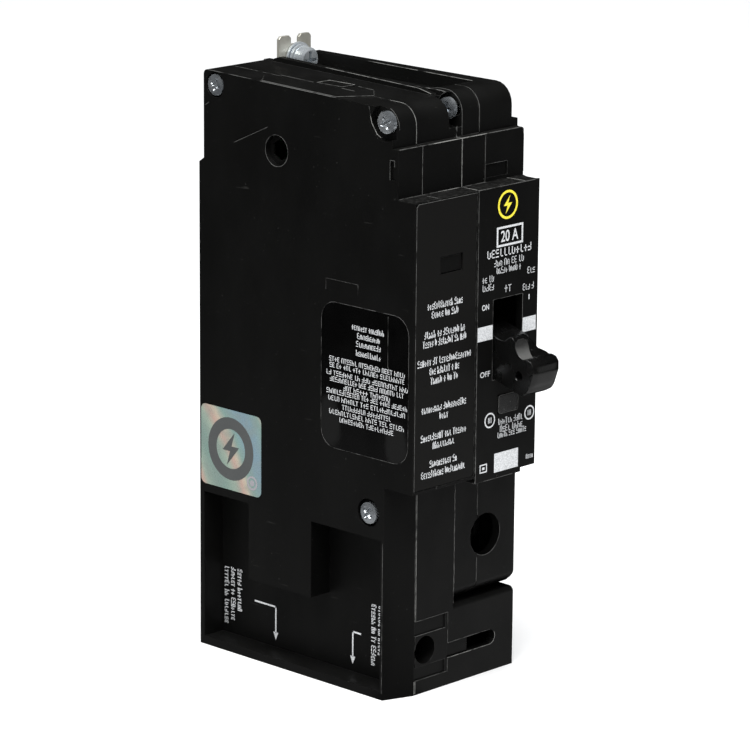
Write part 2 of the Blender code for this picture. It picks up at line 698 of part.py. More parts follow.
def make_contact_arm():
    """Drawn closed, then opened about its pivot towards the front."""
    y, z = ARM_PIVOT
    outline = [
        *arc((y, z), 5.0, 140, 310, 10),
        (67.3, 134.5),
        (67.3, 145.0),
        (63.8, 145.0),
        (63.8, 136.0),
    ]
    arm = prism("contact_arm", "X", outline, 10.7, 14.7, pivot=ARM_PIVOT, turn=ARM_OPEN_ANGLE)
    cut(arm, rod("arm_bore", "X", (MIDDLE_X, y, z), 1.8, 10, sides=16))
    finish(arm, "copper")
    pin = rod("arm_pin", "X", (MIDDLE_X, y, z), 1.5, 20.2, sides=16)
    finish(pin, "steel", smooth=True)
    turn = math.radians(ARM_OPEN_ANGLE)
    across, along = 68.75 - y, CONTACT_Z - z
    pad_y = y + across * math.cos(turn) - along * math.sin(turn)
    pad_z = z + across * math.sin(turn) + along * math.cos(turn)
    pad = rod("moving_contact", "Y", (MIDDLE_X, pad_y, pad_z), 2.9, 1.8, sides=20)
    pad.rotation_euler = (Matrix.Rotation(turn, 3, "X") @ AXES["Y"]).to_euler()
    finish(pad, "silver_alloy", smooth=True)
    fixed = rod("fixed_contact", "Y", (MIDDLE_X, 70.95, CONTACT_Z), 2.9, 1.5, sides=20)
    finish(fixed, "silver_alloy", smooth=True)


def make_arc_chute():
    plate_x, plate_z = (4.4, 21.0), (134.0, 158.4)
    notch_x, notch_top = (8.6, 16.8), 155.2
    for i, y in enumerate((47.0, 51.75, 56.5, 61.25, 66.0)):
        outline = [
            (plate_x[0], plate_z[0]),
            (notch_x[0], plate_z[0]),
            (notch_x[0], notch_top - 4),
            (notch_x[0] + 1.2, notch_top),
            (notch_x[1] - 1.2, notch_top),
            (notch_x[1], notch_top - 4),
            (notch_x[1], plate_z[0]),
            (plate_x[1], plate_z[0]),
            (plate_x[1], plate_z[1]),
            (plate_x[0], plate_z[1]),
        ]
        plate = prism(f"arc_plate_{i + 1}", "Y", outline, y - 0.6, y + 0.6)
        finish(plate, "steel")
    card = 0.8
    inner_x, inner_top = around(plate_x, GAP), plate_z[1] + GAP
    outer_x, outer_top = around(inner_x, card), inner_top + card
    outline = [
        (outer_x[0], plate_z[0]),
        (inner_x[0], plate_z[0]),
        (inner_x[0], inner_top),
        (inner_x[1], inner_top),
        (inner_x[1], plate_z[0]),
        (outer_x[1], plate_z[0]),
        (outer_x[1], outer_top),
        (outer_x[0], outer_top),
    ]
    finish(prism("arc_chute_frame", "Y", outline, 45.5, 67.5), "fibre")


def make_trip_unit():
    strap = box("load_strap", (9.0, 16.4), (26.6, 47.5), (44.0, 45.6))
    finish(strap, "copper")
    bimetal = box("bimetal", (10.7, 14.7), (44.0, 45.2), (45.9, 88.0))
    finish(bimetal, "steel")
    yoke = box("magnet_yoke", (8.2, 17.2), (42.0, 50.0), (58.0, 76.0))
    cut(yoke, box("yoke_gap", (10.2, 15.2), (40.0, 47.6), (57.0, 77.0)))
    finish(yoke, "steel")
    armature = box("armature", (8.4, 17.0), (36.2, 37.6), (58.0, 83.6))
    finish(armature, "steel")
    y, z = TRIP_PIVOT
    bar = rod("trip_bar", "X", (MIDDLE_X, y, z), 2.4, 19.4, sides=16)
    arm = [(31.0, 91.0), (31.8, 91.0), (34.6, 91.9), (y, 91.9), (y, 93.2), (31.0, 93.2)]
    join(
        bar,
        box("trip_finger", (10.6, 14.8), (37.0, 39.0), (84.6, z)),
        prism("trip_arm", "X", arm, 3.2, 6.2),
    )
    finish(bar, "lens_plastic")


def make_cradle():
    y, z = CRADLE_PIVOT
    outline = [
        (39.5, 95.4),
        (42.5, 95.4),
        (46.0, 99.0),
        (y, z - 3.5),
        *arc(CRADLE_PIVOT, 3.5, -75, 90, 5),
        (44.0, z + 0.5),
        (39.5, 98.0),
    ]
    lever = prism("cradle", "X", outline, 16.2, 17.8, pivot=CRADLE_PIVOT)
    cut(lever, rod("cradle_bore", "X", (17, y, z), 1.5, 8, sides=12))
    finish(lever, "steel")
    pin = rod("cradle_pin", "X", (17.5, y, z), 1.2, 10.6, sides=12)
    finish(pin, "steel", smooth=True)


def make_braid():
    route = [(46.6, 86.0), (48.5, 90.0), (51.0, 94.0), (50.6, 97.5), (48.0, 99.6), (45.6, 101.6)]
    braid = wire("flexible_braid", [(MIDDLE_X, *point) for point in route], 1.1, 2)
    finish(place("flexible_braid", braid, (0, 0, 0)), "copper", smooth=True)


def make_load_lug():
    lug = box("load_lug", (5.2, 20.2), (9.0, 26.2), (31.5, 51.0))
    cut(
        lug,
        rod("lug_wire_bore", "Z", (MIDDLE_X, WIRE_Y + 1.4, 40), 5.4, 30),
        rod("lug_thread", "Y", (LUG_X, 9, LUG_Z), 4.6, 12, sides=20),
    )
    finish(lug, "aluminium")
    screw = rod("load_lug_screw", "Y", (LUG_X, 9.6, LUG_Z), 4.3, 6.8, sides=20)
    cut(screw, rod("lug_hex", "Y", (LUG_X, 6, LUG_Z), 2.2, 6, sides=6))
    finish(screw, "steel", smooth=True)


# ---------------------------------------------------------------- ground-fault module
def make_neutral_terminals():
    """Each terminal's screw comes in from the side that an installer reaches: the front or the back."""
    reach = 10.6
    for name, y, side in (("load_neutral", LOAD_NEUTRAL_Y, -1), ("panel_neutral", PANEL_NEUTRAL_Y, 1)):
        screw_y = y + side * reach
        lug = box(f"{name}_lug", (-15.3, -6.9), (y - 8.0, y + 8.0), (5.4, 19.6))
        cut(
            lug,
            rod(f"{name}_bore", "Z", (NEUTRAL_X, y, 12), NEUTRAL_WIRE_RADIUS, 20, sides=20),
            rod(f"{name}_thread", "Y", (NEUTRAL_X, y + side * 7, NEUTRAL_Z), 3.0, 10, sides=16),
        )
        finish(lug, "aluminium")
        screw = rod(f"{name}_screw", "Y", (NEUTRAL_X, screw_y, NEUTRAL_Z), 2.7, 7.0, sides=16)
        slot_x, slot_z = around((NEUTRAL_X, NEUTRAL_X), 3), around((NEUTRAL_Z, NEUTRAL_Z), 0.5)
        slot_y = sorted((screw_y + side * 2.3, screw_y + side * 6))
        cut(screw, box(f"{name}_slot", slot_x, slot_y, slot_z))
        finish(screw, "steel", smooth=True)
    finish(box("neutral_busbar", (-6.6, -5.0), (14.0, 60.0), (8.0, 17.0)), "copper")


def make_sensor():
    inner, outer, half, edge = 6.7, 10.1, 5.0, 0.9
    profile = [
        (outer - edge, half),
        (outer, half - edge),
        (outer, edge - half),
        (outer - edge, -half),
        (inner + edge, -half),
        (inner, edge - half),
        (inner, half - edge),
        (inner + edge, half),
    ]
    ring = turned("current_transformer", "Z", (MIDDLE_X, WIRE_Y, 11.5), profile, 28)
    finish(ring, "winding", smooth=True)


def make_electronics():
    board_x, front = (-4.6, -3.0), -4.9
    finish(box("circuit_board", board_x, (12.0, 66.0), (100.0, 156.0)), "board")
    finish(box("controller_chip", (front - 2.2, front), (52.0, 62.0), (108.0, 118.0)), "component")
    capacitor = rod("filter_capacitor", "X", (front - 6, 58.0, 135.0), 5.0, 12)
    finish(capacitor, "component", smooth=True)
    varistor = rod("surge_varistor", "X", (front - 2, 42.0, 142.0), 6.0, 4)
    finish(varistor, "board", smooth=True)
    resistor = rod("test_resistor", "Z", (front - 2.2, 24.0, 138.0), 1.8, 12)
    finish(resistor, "fibre", smooth=True)


def make_solenoid():
    x, y = PLUNGER
    bore = 3.0
    section = [(6.8, 9.8), (6.8, -9.8), (bore, -9.8), (bore, 9.8)]
    coil_body = turned("solenoid_coil", "Z", (x, y, 114.0), section)
    finish(coil_body, "winding", smooth=True)
    frame = box("solenoid_frame", (x - 5, x + 5), (y - 6, y + 9.2), (102.2, 125.8))
    cut(
        frame,
        box("solenoid_window", (x - 8, x + 8), (y - 8, y + 7.4), (103.8, 124.2)),
        rod("solenoid_way", "Z", (x, y, 110), bore, 40, sides=20),
    )
    finish(frame, "steel")
    top, foot = 127.5, 90.9
    profile = [(0, top), (2.6, top), (2.6, 92.5), (4.8, 92.5), (4.8, foot), (0, foot)]
    plunger = turned("solenoid_plunger", "Z", (x, y, 0), profile, 20)
    finish(plunger, "steel", smooth=True)
    finish(box("trip_link", (x - 3, 5.9), (31.0, 35.0), (88.4, 90.5)), "lens_plastic")


def make_test_switch():
    x, z = TEST_BUTTON_X, TEST_BUTTON_Z
    button = box("test_button", x, (-7.1, -3.4), z)
    join(
        button,
        box("button_flange", (x[0] + 0.2, x[1] + 1.0), (-4.7, -3.4), (z[0] - 1.2, z[1] + 1.2)),
        box("button_stem", (-12.2, -9.0), (-3.6, -0.6), (124.2, 126.6)),
    )
    finish(button, "handle_plastic")
    finish(box("test_blade", (-13.4, -7.8), (0.0, 0.8), (108.0, 128.0)), "copper")


make_module_cover()
make_module_case()
make_breaker_cover()
make_breaker_case()
make_neutral_insert()
make_labels()
for screw_name, (screw_at, _) in SIDE_SCREWS.items():
    make_side_screw(screw_name, screw_at, LEFT, 13.0)
make_side_screw("breaker_screw", BREAKER_SCREW, GAP / 2, 16.0)
make_rivets()
make_line_terminal()
make_line_screw()
make_handle()
make_springs()
make_contact_arm()
make_arc_chute()
make_trip_unit()
make_cradle()
make_braid()
make_load_lug()
make_neutral_terminals()
make_sensor()
make_electronics()
make_solenoid()
make_test_switch()
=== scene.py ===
"""Looks of the one-pole circuit breaker with a ground-fault module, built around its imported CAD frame.

Sizes are millimetres in the device frame, as in the CAD source: X runs across the device from the seam
between the module (-X) and the breaker (+X), Y runs from the lower front face to the back, and Z runs up.
The function "at" turns such a point into the row frame.
"""

import json
import math
import random

import bmesh
import bpy
from mathutils import Matrix, Vector


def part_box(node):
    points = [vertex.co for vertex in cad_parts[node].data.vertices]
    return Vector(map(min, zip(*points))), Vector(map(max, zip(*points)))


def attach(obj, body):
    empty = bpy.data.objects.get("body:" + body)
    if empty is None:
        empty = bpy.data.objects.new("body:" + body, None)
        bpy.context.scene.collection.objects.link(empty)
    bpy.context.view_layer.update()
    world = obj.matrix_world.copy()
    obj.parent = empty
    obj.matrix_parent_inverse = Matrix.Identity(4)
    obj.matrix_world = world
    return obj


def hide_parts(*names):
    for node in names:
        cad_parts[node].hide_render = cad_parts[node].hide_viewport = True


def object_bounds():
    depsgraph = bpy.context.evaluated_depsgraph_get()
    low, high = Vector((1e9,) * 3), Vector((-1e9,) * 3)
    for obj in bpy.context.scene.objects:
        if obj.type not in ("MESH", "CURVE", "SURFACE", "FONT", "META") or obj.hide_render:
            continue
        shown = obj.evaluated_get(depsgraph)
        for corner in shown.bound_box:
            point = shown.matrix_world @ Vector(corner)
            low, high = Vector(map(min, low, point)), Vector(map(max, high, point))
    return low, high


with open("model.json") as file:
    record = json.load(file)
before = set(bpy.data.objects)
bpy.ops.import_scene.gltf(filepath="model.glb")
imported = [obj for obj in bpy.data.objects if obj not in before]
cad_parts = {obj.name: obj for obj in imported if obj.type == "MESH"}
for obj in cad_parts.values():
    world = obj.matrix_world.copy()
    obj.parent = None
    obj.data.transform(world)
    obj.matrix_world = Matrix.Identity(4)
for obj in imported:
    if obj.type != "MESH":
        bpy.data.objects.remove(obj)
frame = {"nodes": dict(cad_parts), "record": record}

CAD_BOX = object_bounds()
MM = 0.001
HOUSING = "housing"

# Device dimensions that the frame doesn't say
DEPTH = 77.2
ORIGIN_Y = CAD_BOX[1].y / MM - DEPTH
LEFT, RIGHT = CAD_BOX[0].x / MM, CAD_BOX[1].x / MM
COVER_SEAM, CENTRE_SEAM, CASE_SEAM = -15.85, 0.0, 9.55
ESCUTCHEON_Y, SHOULDER_Y, CROWN_Y, CROWN_RADIUS = -7.5, -1.0, 1.4, 6.0
ESCUTCHEON_LOW, ESCUTCHEON_HIGH, SHOULDER_HIGH = 62.1, 144.3, 158.0
BREAKER_LIP, FOOT_TOP = 60.4, 23.4
MODULE_TOP, MODULE_REAR_TOP, BREAKER_TOP = 168.9, 170.8, 170.3
PAD_HEIGHT = 0.3  # of the pad on the module's top
TOP_PLATE_X, TOP_PLATE_Y, TOP_PLATE_HIGH = (-15.3, -10.2), (30.4, 40.2), 170.1
RAIL_LEFT, RAIL_FRONT, RAIL_REAR = -2.0, (14.0, 170.3), (68.7, 172.1)  # X, and (Y, Z) of its top's ends
WELL_RIGHT_FRONT, WELL_RIGHT_REAR = (11.0, 17.4), (DEPTH + 1, 20.6)  # (Y, X) of the well's right wall
NOTCH_RIGHT = 2.45  # right wall of the notch around the breaker's screw
RECESS_FLOOR = -17.9
HANDLE_PIVOT, HANDLE_OFF_ANGLE = (7.3, 100.9), 17.5
HEAD_RADIUS, HEAD_HEIGHT, SHANK_RADIUS = 3.1, 1.7, 1.4  # screws
CROSS_REACH, CROSS_HALF_WIDTH = 1.9, 0.5
INK = 0.03  # how far printing stands off its face

# Inner parts that are glimpsed through the openings, painted dark there as the shade inside the case
SHADED_INNER_PARTS = (
    "load_lug_screw", "load_neutral_screw", "panel_neutral_screw", "neutral_busbar",
    "current_transformer", "load_neutral_lug",
)


def at(x, y, z):
    """A device-frame point as a row-frame vector in metres."""
    return Vector((x, y + ORIGIN_Y, z)) * MM


# ---------------- camera
def make_camera():
    """The fitted view: azimuth, elevation and roll about a point inside the case."""
    azimuth, elevation, roll = math.radians(-46.16), math.radians(14.33), math.radians(0.48)
    target, distance, aside, above = at(0, 33, 65), 1130.4 * MM, 1.07 * MM, 18.98 * MM
    back = Vector((
        math.sin(azimuth) * math.cos(elevation),
        -math.cos(azimuth) * math.cos(elevation),
        math.sin(elevation),
    ))
    right = Vector((math.cos(azimuth), math.sin(azimuth), 0))
    up = back.cross(right)
    place = target + back * distance + right * aside + up * above
    level = Matrix((right, up, back)).transposed()
    camera = link(bpy.data.objects.new("camera", bpy.data.cameras.new("camera")))
    camera.matrix_world = Matrix.Translation(place) @ (level @ Matrix.Rotation(roll, 3, "Z")).to_4x4()
    camera.data.sensor_width = 36.0
    camera.data.lens = 189.3
    camera.data.clip_start, camera.data.clip_end = 0.05, 60
    bpy.context.scene.camera = camera


# ---------------- material helpers
class Painter:
    """A material with its Principled shader, and short calls for the nodes that feed it."""

    def __init__(self, name, roughness=0.5, metallic=0.0, specular=0.5):
        self.material = bpy.data.materials.new(name)
        self.material.use_nodes = True
        self.tree = self.material.node_tree
        self.shader = self.tree.nodes["Principled BSDF"]
        self.set("Roughness", roughness)
        self.set("Metallic", metallic)
        self.set("Specular IOR Level", specular)
        self.place = self.node("ShaderNodeTexCoord").outputs["Object"]

    def set(self, socket, value):
        self.feed(self.shader.inputs[socket], value)

    def node(self, kind, settings=(), **inputs):
        made = self.tree.nodes.new(kind)
        for key, value in dict(settings).items():
            setattr(made, key, value)
        for key, value in inputs.items():
            self.feed(made.inputs[key.replace("_", " ")], value)
        return made

    def feed(self, socket, value):
        if isinstance(value, bpy.types.NodeSocket):
            self.tree.links.new(value, socket)
        else:
            socket.default_value = value

    def noise(self, size_mm, detail=3.0, stretch=(1, 1, 1), roughness=0.55):
        """Noise between 0 and 1 whose features are about size_mm across."""
        scale = [1 / (size_mm * MM * along) for along in stretch]
        mapping = self.node("ShaderNodeMapping", Vector=self.place, Scale=scale)
        made = self.node(
            "ShaderNodeTexNoise", Vector=mapping.outputs[0], Scale=1.0, Detail=detail, Roughness=roughness
        )
        return made.outputs["Fac"]

    def math(self, operation, *values, clamp=False):
        made = self.node("ShaderNodeMath", {"operation": operation, "use_clamp": clamp})
        for socket, value in zip(made.inputs, values):
            self.feed(socket, value)
        return made.outputs[0]

    def ramp(self, value, low, high, out_low=0.0, out_high=1.0):
        """value mapped from low..high to out_low..out_high, smooth at both ends."""
        kind = {"interpolation_type": "SMOOTHSTEP"}
        limits = {"From_Min": low, "From_Max": high, "To_Min": out_low, "To_Max": out_high}
        return self.node("ShaderNodeMapRange", kind, Value=value, **limits).outputs[0]

    def mix(self, factor, first, second):
        """A colour between first and second."""
        made = self.node("ShaderNodeMix", {"data_type": "RGBA"})
        self.feed(made.inputs["Factor"], factor)
        for socket, value in ((made.inputs[6], first), (made.inputs[7], second)):
            self.feed(socket, value if isinstance(value, bpy.types.NodeSocket) else (*value, 1.0))
        return made.outputs[2]

    def axis(self, name):
        """The position along X, Y or Z, in metres."""
        return self.node("ShaderNodeSeparateXYZ", Vector=self.place).outputs[name]

    def near(self, axis, levels, inner_mm, outer_mm):
        """1 close to any of the levels along an axis, and 0 beyond outer_mm from all of them."""
        position, most = self.axis(axis), 0.0
        for level in levels:
            gap = self.math("ABSOLUTE", self.math("SUBTRACT", position, level * MM))
            most = self.math("MAXIMUM", most, self.ramp(gap, inner_mm * MM, outer_mm * MM, 1, 0))
        return most

    def bump(self, height, strength, distance_mm):
        made = self.node("ShaderNodeBump", Height=height, Strength=strength, Distance=distance_mm * MM)
        self.set("Normal", made.outputs[0])

    def done(self, colour, roughness=None):
        """The material, with its colour and, where it varies, its roughness."""
        self.set("Base Color", colour)
        if roughness is not None:
            self.set("Roughness", roughness)
        return self.material


def moulded_plastic(name, dark, light, roughness, specular, grain, dust=0.0):
    """Moulding: fine grain, slow changes of gloss and tone, a few scratches, and dust where asked."""
    paint = Painter(name, specular=specular)
    tone = paint.ramp(paint.noise(26, 4, (1, 1, 2.2)), 0.3, 0.7)
    colour = paint.mix(tone, dark, light)
    scratches = paint.ramp(paint.noise(0.9, 2, (1, 14, 1.3)), 0.71, 0.78)
    colour = paint.mix(paint.math("MULTIPLY", scratches, 0.35), colour, [8 * c for c in light])
    if dust:
        specks = paint.ramp(paint.noise(0.45, 1), 0.79, 0.84, 0, dust)
        colour = paint.mix(specks, colour, (0.16, 0.16, 0.155))
        colour = paint.mix(step_dust(paint), colour, (0.02, 0.02, 0.0193))
    paint.bump(paint.noise(0.5, 2), grain, 0.05)
    return paint.done(colour, paint.ramp(paint.noise(9, 5, (1, 1, 1.6)), 0.25, 0.75, *roughness))


def step_dust(paint):
    """How dusty a place is: it gathers on the two steps of the front."""
    near = paint.near("Z", (ESCUTCHEON_HIGH, SHOULDER_HIGH), 0.05, 0.4)
    patchy = paint.ramp(paint.noise(1.1, 5), 0.42, 0.72)
    forward = paint.ramp(paint.axis("Y"), at(0, 0, 0).y, at(0, 1.3, 0).y, 1, 0)
    return paint.math("MULTIPLY", paint.math("MULTIPLY", near, forward), patchy)


def edge_plastic(name, dark, light, reach):
    """The rounded edges of a moulding, painted lighter: partly rubbing wear and partly a painted highlight
    of the edges, most of all along the seams between the shells.
    """
    paint = Painter(name, specular=0.5)
    broken = paint.ramp(paint.noise(1.6, 4), 0.38, 0.66)
    near = paint.near("X", (COVER_SEAM, CENTRE_SEAM, CASE_SEAM), 0.25, reach)
    # the lighter colour is partly wear and partly a painted highlight along the rounded edges
    rubbed = paint.math("MULTIPLY", broken, paint.ramp(near, 0, 1, 0.16, 1.0), clamp=True)
    return paint.done(paint.mix(rubbed, dark, light), paint.ramp(broken, 0, 1, 0.34, 0.5))


def flash_and_highlight_plastic(name, dark, light, gaps):
    """Moulding fins along a seam: light where they are torn and as a painted highlight of the edge, dark
    over gaps of their length.
    """
    paint = Painter(name, specular=0.3)
    # the light stretches are torn fins and a painted highlight along the edge
    torn_and_lit = paint.ramp(paint.noise(2.6, 3), 0.5 - 0.3 * (1 - gaps), 0.5 + 0.2 * gaps)
    return paint.done(paint.mix(torn_and_lit, dark, light), paint.ramp(torn_and_lit, 0, 1, 0.4, 0.6))


def printed(name, colour, worn):
    """A printed or painted coat, a little thin in places."""
    paint = Painter(name, roughness=0.55, specular=0.3)
    thin = paint.ramp(paint.noise(0.35, 3), 0.35, 0.62)
    return paint.done(paint.mix(thin, worn, colour))


def thumb_paint(name, high, low):
    """Satin paint that is darker towards the top of the thumb rest, and rubbed in places."""
    paint = Painter(name, roughness=0.42, specular=0.35)
    first, last = handle_point(0, 21.5, 7.0).z, handle_point(0, 26.5, 4.2).z
    fade = paint.ramp(paint.axis("Z"), last, first, 0, 1)
    rubbed = paint.math("MULTIPLY", paint.math("SUBTRACT", paint.noise(1.2, 4), 0.5), 0.5)
    return paint.done(paint.mix(paint.math("ADD", fade, rubbed, clamp=True), low, high))


def metal(name, dark, light, roughness, size_mm=0.7, stretch=(1, 1, 1), metallic=1.0, dents=0.25):
    """Bare or plated metal with cloudy tone and a fine handled surface."""
    paint = Painter(name, metallic=metallic)
    tone = paint.ramp(paint.noise(size_mm * 4, 5, stretch), 0.3, 0.7)
    gloss = paint.ramp(paint.noise(size_mm, 4, stretch), 0.3, 0.7, *roughness)
    paint.bump(paint.noise(size_mm, 3, stretch), dents, 0.03)
    return paint.done(paint.mix(tone, dark, light), gloss)


def plain_film(name, colour, light, roughness, soft_patches=()):
    """Printed film, with soft patches that are lighter and rougher: (Y, Z, radius) on the left side."""
    paint = Painter(name, specular=0.25)
    factor = paint.ramp(paint.noise(14, 3), 0.3, 0.7, 0, 0.15)
    for y, z, radius in soft_patches:
        centre = at(LEFT, y, z)
        apart = paint.node("ShaderNodeVectorMath", {"operation": "DISTANCE"})
        squeeze = paint.node("ShaderNodeMapping", Vector=paint.place, Scale=(0, 1, 0.6))
        paint.tree.links.new(squeeze.outputs[0], apart.inputs[0])
        apart.inputs[1].default_value = (0, centre.y, centre.z * 0.6)
        wobble = paint.math("MULTIPLY", paint.math("SUBTRACT", paint.noise(5, 2), 0.5), 0.4 * radius * MM)
        edge = paint.math("ADD", apart.outputs["Value"], wobble)
        factor = paint.math("MAXIMUM", factor, paint.ramp(edge, 0.6 * radius * MM, 1.1 * radius * MM, 1, 0))
    paint.bump(paint.noise(3, 2), 0.05, 0.05)
    return paint.done(paint.mix(factor, colour, light), paint.ramp(factor, 0, 1, *roughness))


def hologram(name):
    """Silvery foil whose tint turns through soft rainbow bands, with a fine grain of diffraction lines."""
    paint = Painter(name, metallic=0.2, specular=0.4)
    middle = (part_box("hologram_sticker")[0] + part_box("hologram_sticker")[1]) / 2
    swirl = paint.node("ShaderNodeMapping", Vector=paint.place, Location=-middle, Rotation=(0.5, 0, 0))
    kind = {"wave_type": "RINGS", "rings_direction": "X"}
    wave = {"Scale": 9.0, "Distortion": 6.0, "Detail": 2.0, "Detail_Scale": 1.2}
    bands = paint.node("ShaderNodeTexWave", kind, Vector=swirl.outputs[0], **wave).outputs["Fac"]
    stops = (
        (0.0, (0.17, 0.25, 0.22)), (0.25, (0.27, 0.33, 0.27)), (0.45, (0.42, 0.29, 0.24)),
        (0.6, (0.43, 0.37, 0.29)), (0.78, (0.19, 0.30, 0.27)), (1.0, (0.17, 0.25, 0.3)),
    )
    colours = paint.node("ShaderNodeValToRGB", Fac=bands)
    ramp = colours.color_ramp
    while len(ramp.elements) < len(stops):
        ramp.elements.new(0.5)
    for element, (place, colour) in zip(ramp.elements, stops):
        element.position = place
        element.color = (*colour, 1.0)
    cloud = paint.ramp(paint.noise(5, 4), 0.35, 0.7, 0, 0.55)
    tinted = paint.mix(cloud, colours.outputs["Color"], (0.19, 0.23, 0.21))
    paint.bump(paint.noise(0.4, 2, (1, 1, 3)), 0.12, 0.03)
    return paint.done(tinted, paint.ramp(paint.noise(0.6, 3), 0.3, 0.7, 0.22, 0.4))


def make_materials():
    """Every material by its name: the function that makes it, and what that function is given."""
    black, black_light = (0.0028, 0.0028, 0.0026), (0.0040, 0.0040, 0.0037)
    label_patches, even = ((25.0, 77.0, 5.2), (-1.0, 75.0, 4.8)), (1, 1, 1)
    recipes = {
        # name: function, dark and light tone (or colour and worn colour), roughness and the rest
        "case_plastic": (moulded_plastic, black, black_light, (0.4, 0.52), 0.28, 0.25, 0.5),
        # case_edge: the rounded edges painted lighter, partly wear and partly a painted highlight
        "case_edge": (edge_plastic, (0.011, 0.011, 0.0105), (0.13, 0.13, 0.125), 0.9),
        # the seam lines are painted light: moulding fins and a painted highlight along the edges
        "flash": (flash_and_highlight_plastic, (0.04, 0.04, 0.039), (0.2, 0.2, 0.19), 0.3),
        "soft_flash": (flash_and_highlight_plastic, (0.014, 0.014, 0.0135), (0.085, 0.085, 0.082), 0.3),
        "dotted_flash": (flash_and_highlight_plastic, (0.006, 0.006, 0.006), (0.085, 0.085, 0.082), 0.5),
        "foil_grey": (plain_film, (0.06, 0.063, 0.063), (0.09, 0.095, 0.092), (0.35, 0.5)),
        "foil_light": (plain_film, (0.24, 0.23, 0.25), (0.32, 0.32, 0.32), (0.35, 0.5)),
        "handle_plastic": (moulded_plastic, (0.0022,) * 3, (0.0032, 0.0032, 0.0031), (0.2, 0.3), 0.9, 0.1),
        "side_label": (plain_film, (0.0010,) * 3, (0.0075, 0.0075, 0.0074), (0.16, 0.42), label_patches),
        "test_label": (plain_film, (0.0064, 0.0062, 0.0057), (0.0076, 0.0074, 0.0068), (0.5, 0.58)),
        "white_ink": (printed, (0.63, 0.64, 0.65), (0.42, 0.43, 0.44)),
        "yellow_ink": (printed, (0.83, 0.73, 0.05), (0.62, 0.52, 0.02)),
        "patch": (thumb_paint, (0.02, 0.02, 0.0195), (0.085, 0.085, 0.082)),
        "hologram_film": (hologram,),
        "lens_plastic": (moulded_plastic, (0.008,) * 3, (0.02,) * 3, (0.14, 0.24), 0.9, 0.1),
        "fibre": (printed, (0.42, 0.33, 0.2), (0.3, 0.22, 0.13)),
        "board": (moulded_plastic, (0.02, 0.12, 0.04), (0.03, 0.17, 0.06), (0.35, 0.5), 0.5, 0.1),
        "component": (moulded_plastic, (0.02,) * 3, (0.035,) * 3, (0.3, 0.5), 0.5, 0.1),
        "winding": (metal, (0.35, 0.12, 0.04), (0.6, 0.25, 0.1), (0.3, 0.4), 0.5, (8, 8, 1), 0.8),
        "copper": (metal, (0.6, 0.26, 0.14), (0.78, 0.42, 0.27), (0.28, 0.42)),
        "tinned_copper": (
            metal, (0.46, 0.45, 0.39), (0.7, 0.68, 0.6), (0.3, 0.42), 1.5, (1, 1, 4), 0.7, 0.08
        ),
        "silver_alloy": (metal, (0.7, 0.69, 0.66), (0.86, 0.85, 0.82), (0.25, 0.4)),
        "zinc_steel": (metal, (0.5, 0.55, 0.59), (0.88, 0.92, 0.95), (0.2, 0.26), 3.0, even, 0.72, 0.0),
        "screw_heads": (metal, (0.42, 0.46, 0.5), (0.86, 0.9, 0.93), (0.2, 0.28), 2.0, even, 0.9, 0.0),
        "steel": (metal, (0.25, 0.25, 0.26), (0.42, 0.42, 0.43), (0.3, 0.46)),
        "dark_steel": (metal, (0.03,) * 3, (0.07,) * 3, (0.35, 0.5)),
        # a darker steel that paints the shade in the screws' cross recesses
        "recess_steel": (metal, (0.1, 0.11, 0.12), (0.2, 0.21, 0.22), (0.4, 0.5)),
        "aluminium": (metal, (0.3,) * 3, (0.5,) * 3, (0.35, 0.5)),
    }
    return {name: function(name, *given) for name, (function, *given) in recipes.items()}


# ---------------- mesh helpers
def link(obj):
    bpy.context.scene.collection.objects.link(obj)
    return obj


def baked(obj, name):
    """The object's evaluated mesh as a new object; the old one is removed."""
    bpy.context.view_layer.update()
    graph = bpy.context.evaluated_depsgraph_get()
    mesh = bpy.data.meshes.new_from_object(obj.evaluated_get(graph))
    mesh.name = name
    mesh.transform(obj.matrix_world)
    data = obj.data
    bpy.data.objects.remove(obj)
    if data.users == 0 and isinstance(data, bpy.types.Mesh):
        bpy.data.meshes.remove(data)
    return link(bpy.data.objects.new(name, mesh))


def from_bmesh(name, shape):
    mesh = bpy.data.meshes.new(name)
    bmesh.ops.recalc_face_normals(shape, faces=shape.faces)
    shape.to_mesh(mesh)
    shape.free()
    return link(bpy.data.objects.new(name, mesh))


def dress(obj, *materials, smooth_angle=None):
    obj.data.materials.clear()
    for material in materials:
        obj.data.materials.append(material)
    if smooth_angle is not None:
        obj.data.shade_smooth()
        obj.data.set_sharp_from_angle(angle=math.radians(smooth_angle))
    return obj


def skin(shape, rings):
    """Joins each closed ring of points to the next one."""
    for ring, other in zip(rings, rings[1:]):
        for i in range(len(ring)):
            j = (i + 1) % len(ring)
            shape.faces.new((ring[i], ring[j], other[j], other[i]))


def prism(shape, face, outline, high, low):
    """Adds a closed sheet on a face, from its outline in the face's directions."""
    tops, lows = [[shape.verts.new(face(u, v, out)) for u, v in outline] for out in (high, low)]
    shape.faces.new(tops)
    shape.faces.new(lows[::-1])
    skin(shape, (tops, lows))


def add_bevel(obj, width_mm, segments, angle, edge_slot):
    """Rounds the edges that turn by more than angle."""
    bevel = obj.modifiers.new("bevel", "BEVEL")
    bevel.width = width_mm * MM
    bevel.segments = segments
    bevel.limit_method = "ANGLE"
    bevel.angle_limit = math.radians(angle)
    bevel.use_clamp_overlap = True
    # the rounded faces take the last material, which on the shells is the edge paint: wear and a painted
    # highlight
    bevel.material = edge_slot
    weigh = obj.modifiers.new("normals", "WEIGHTED_NORMAL")
    weigh.keep_sharp = False


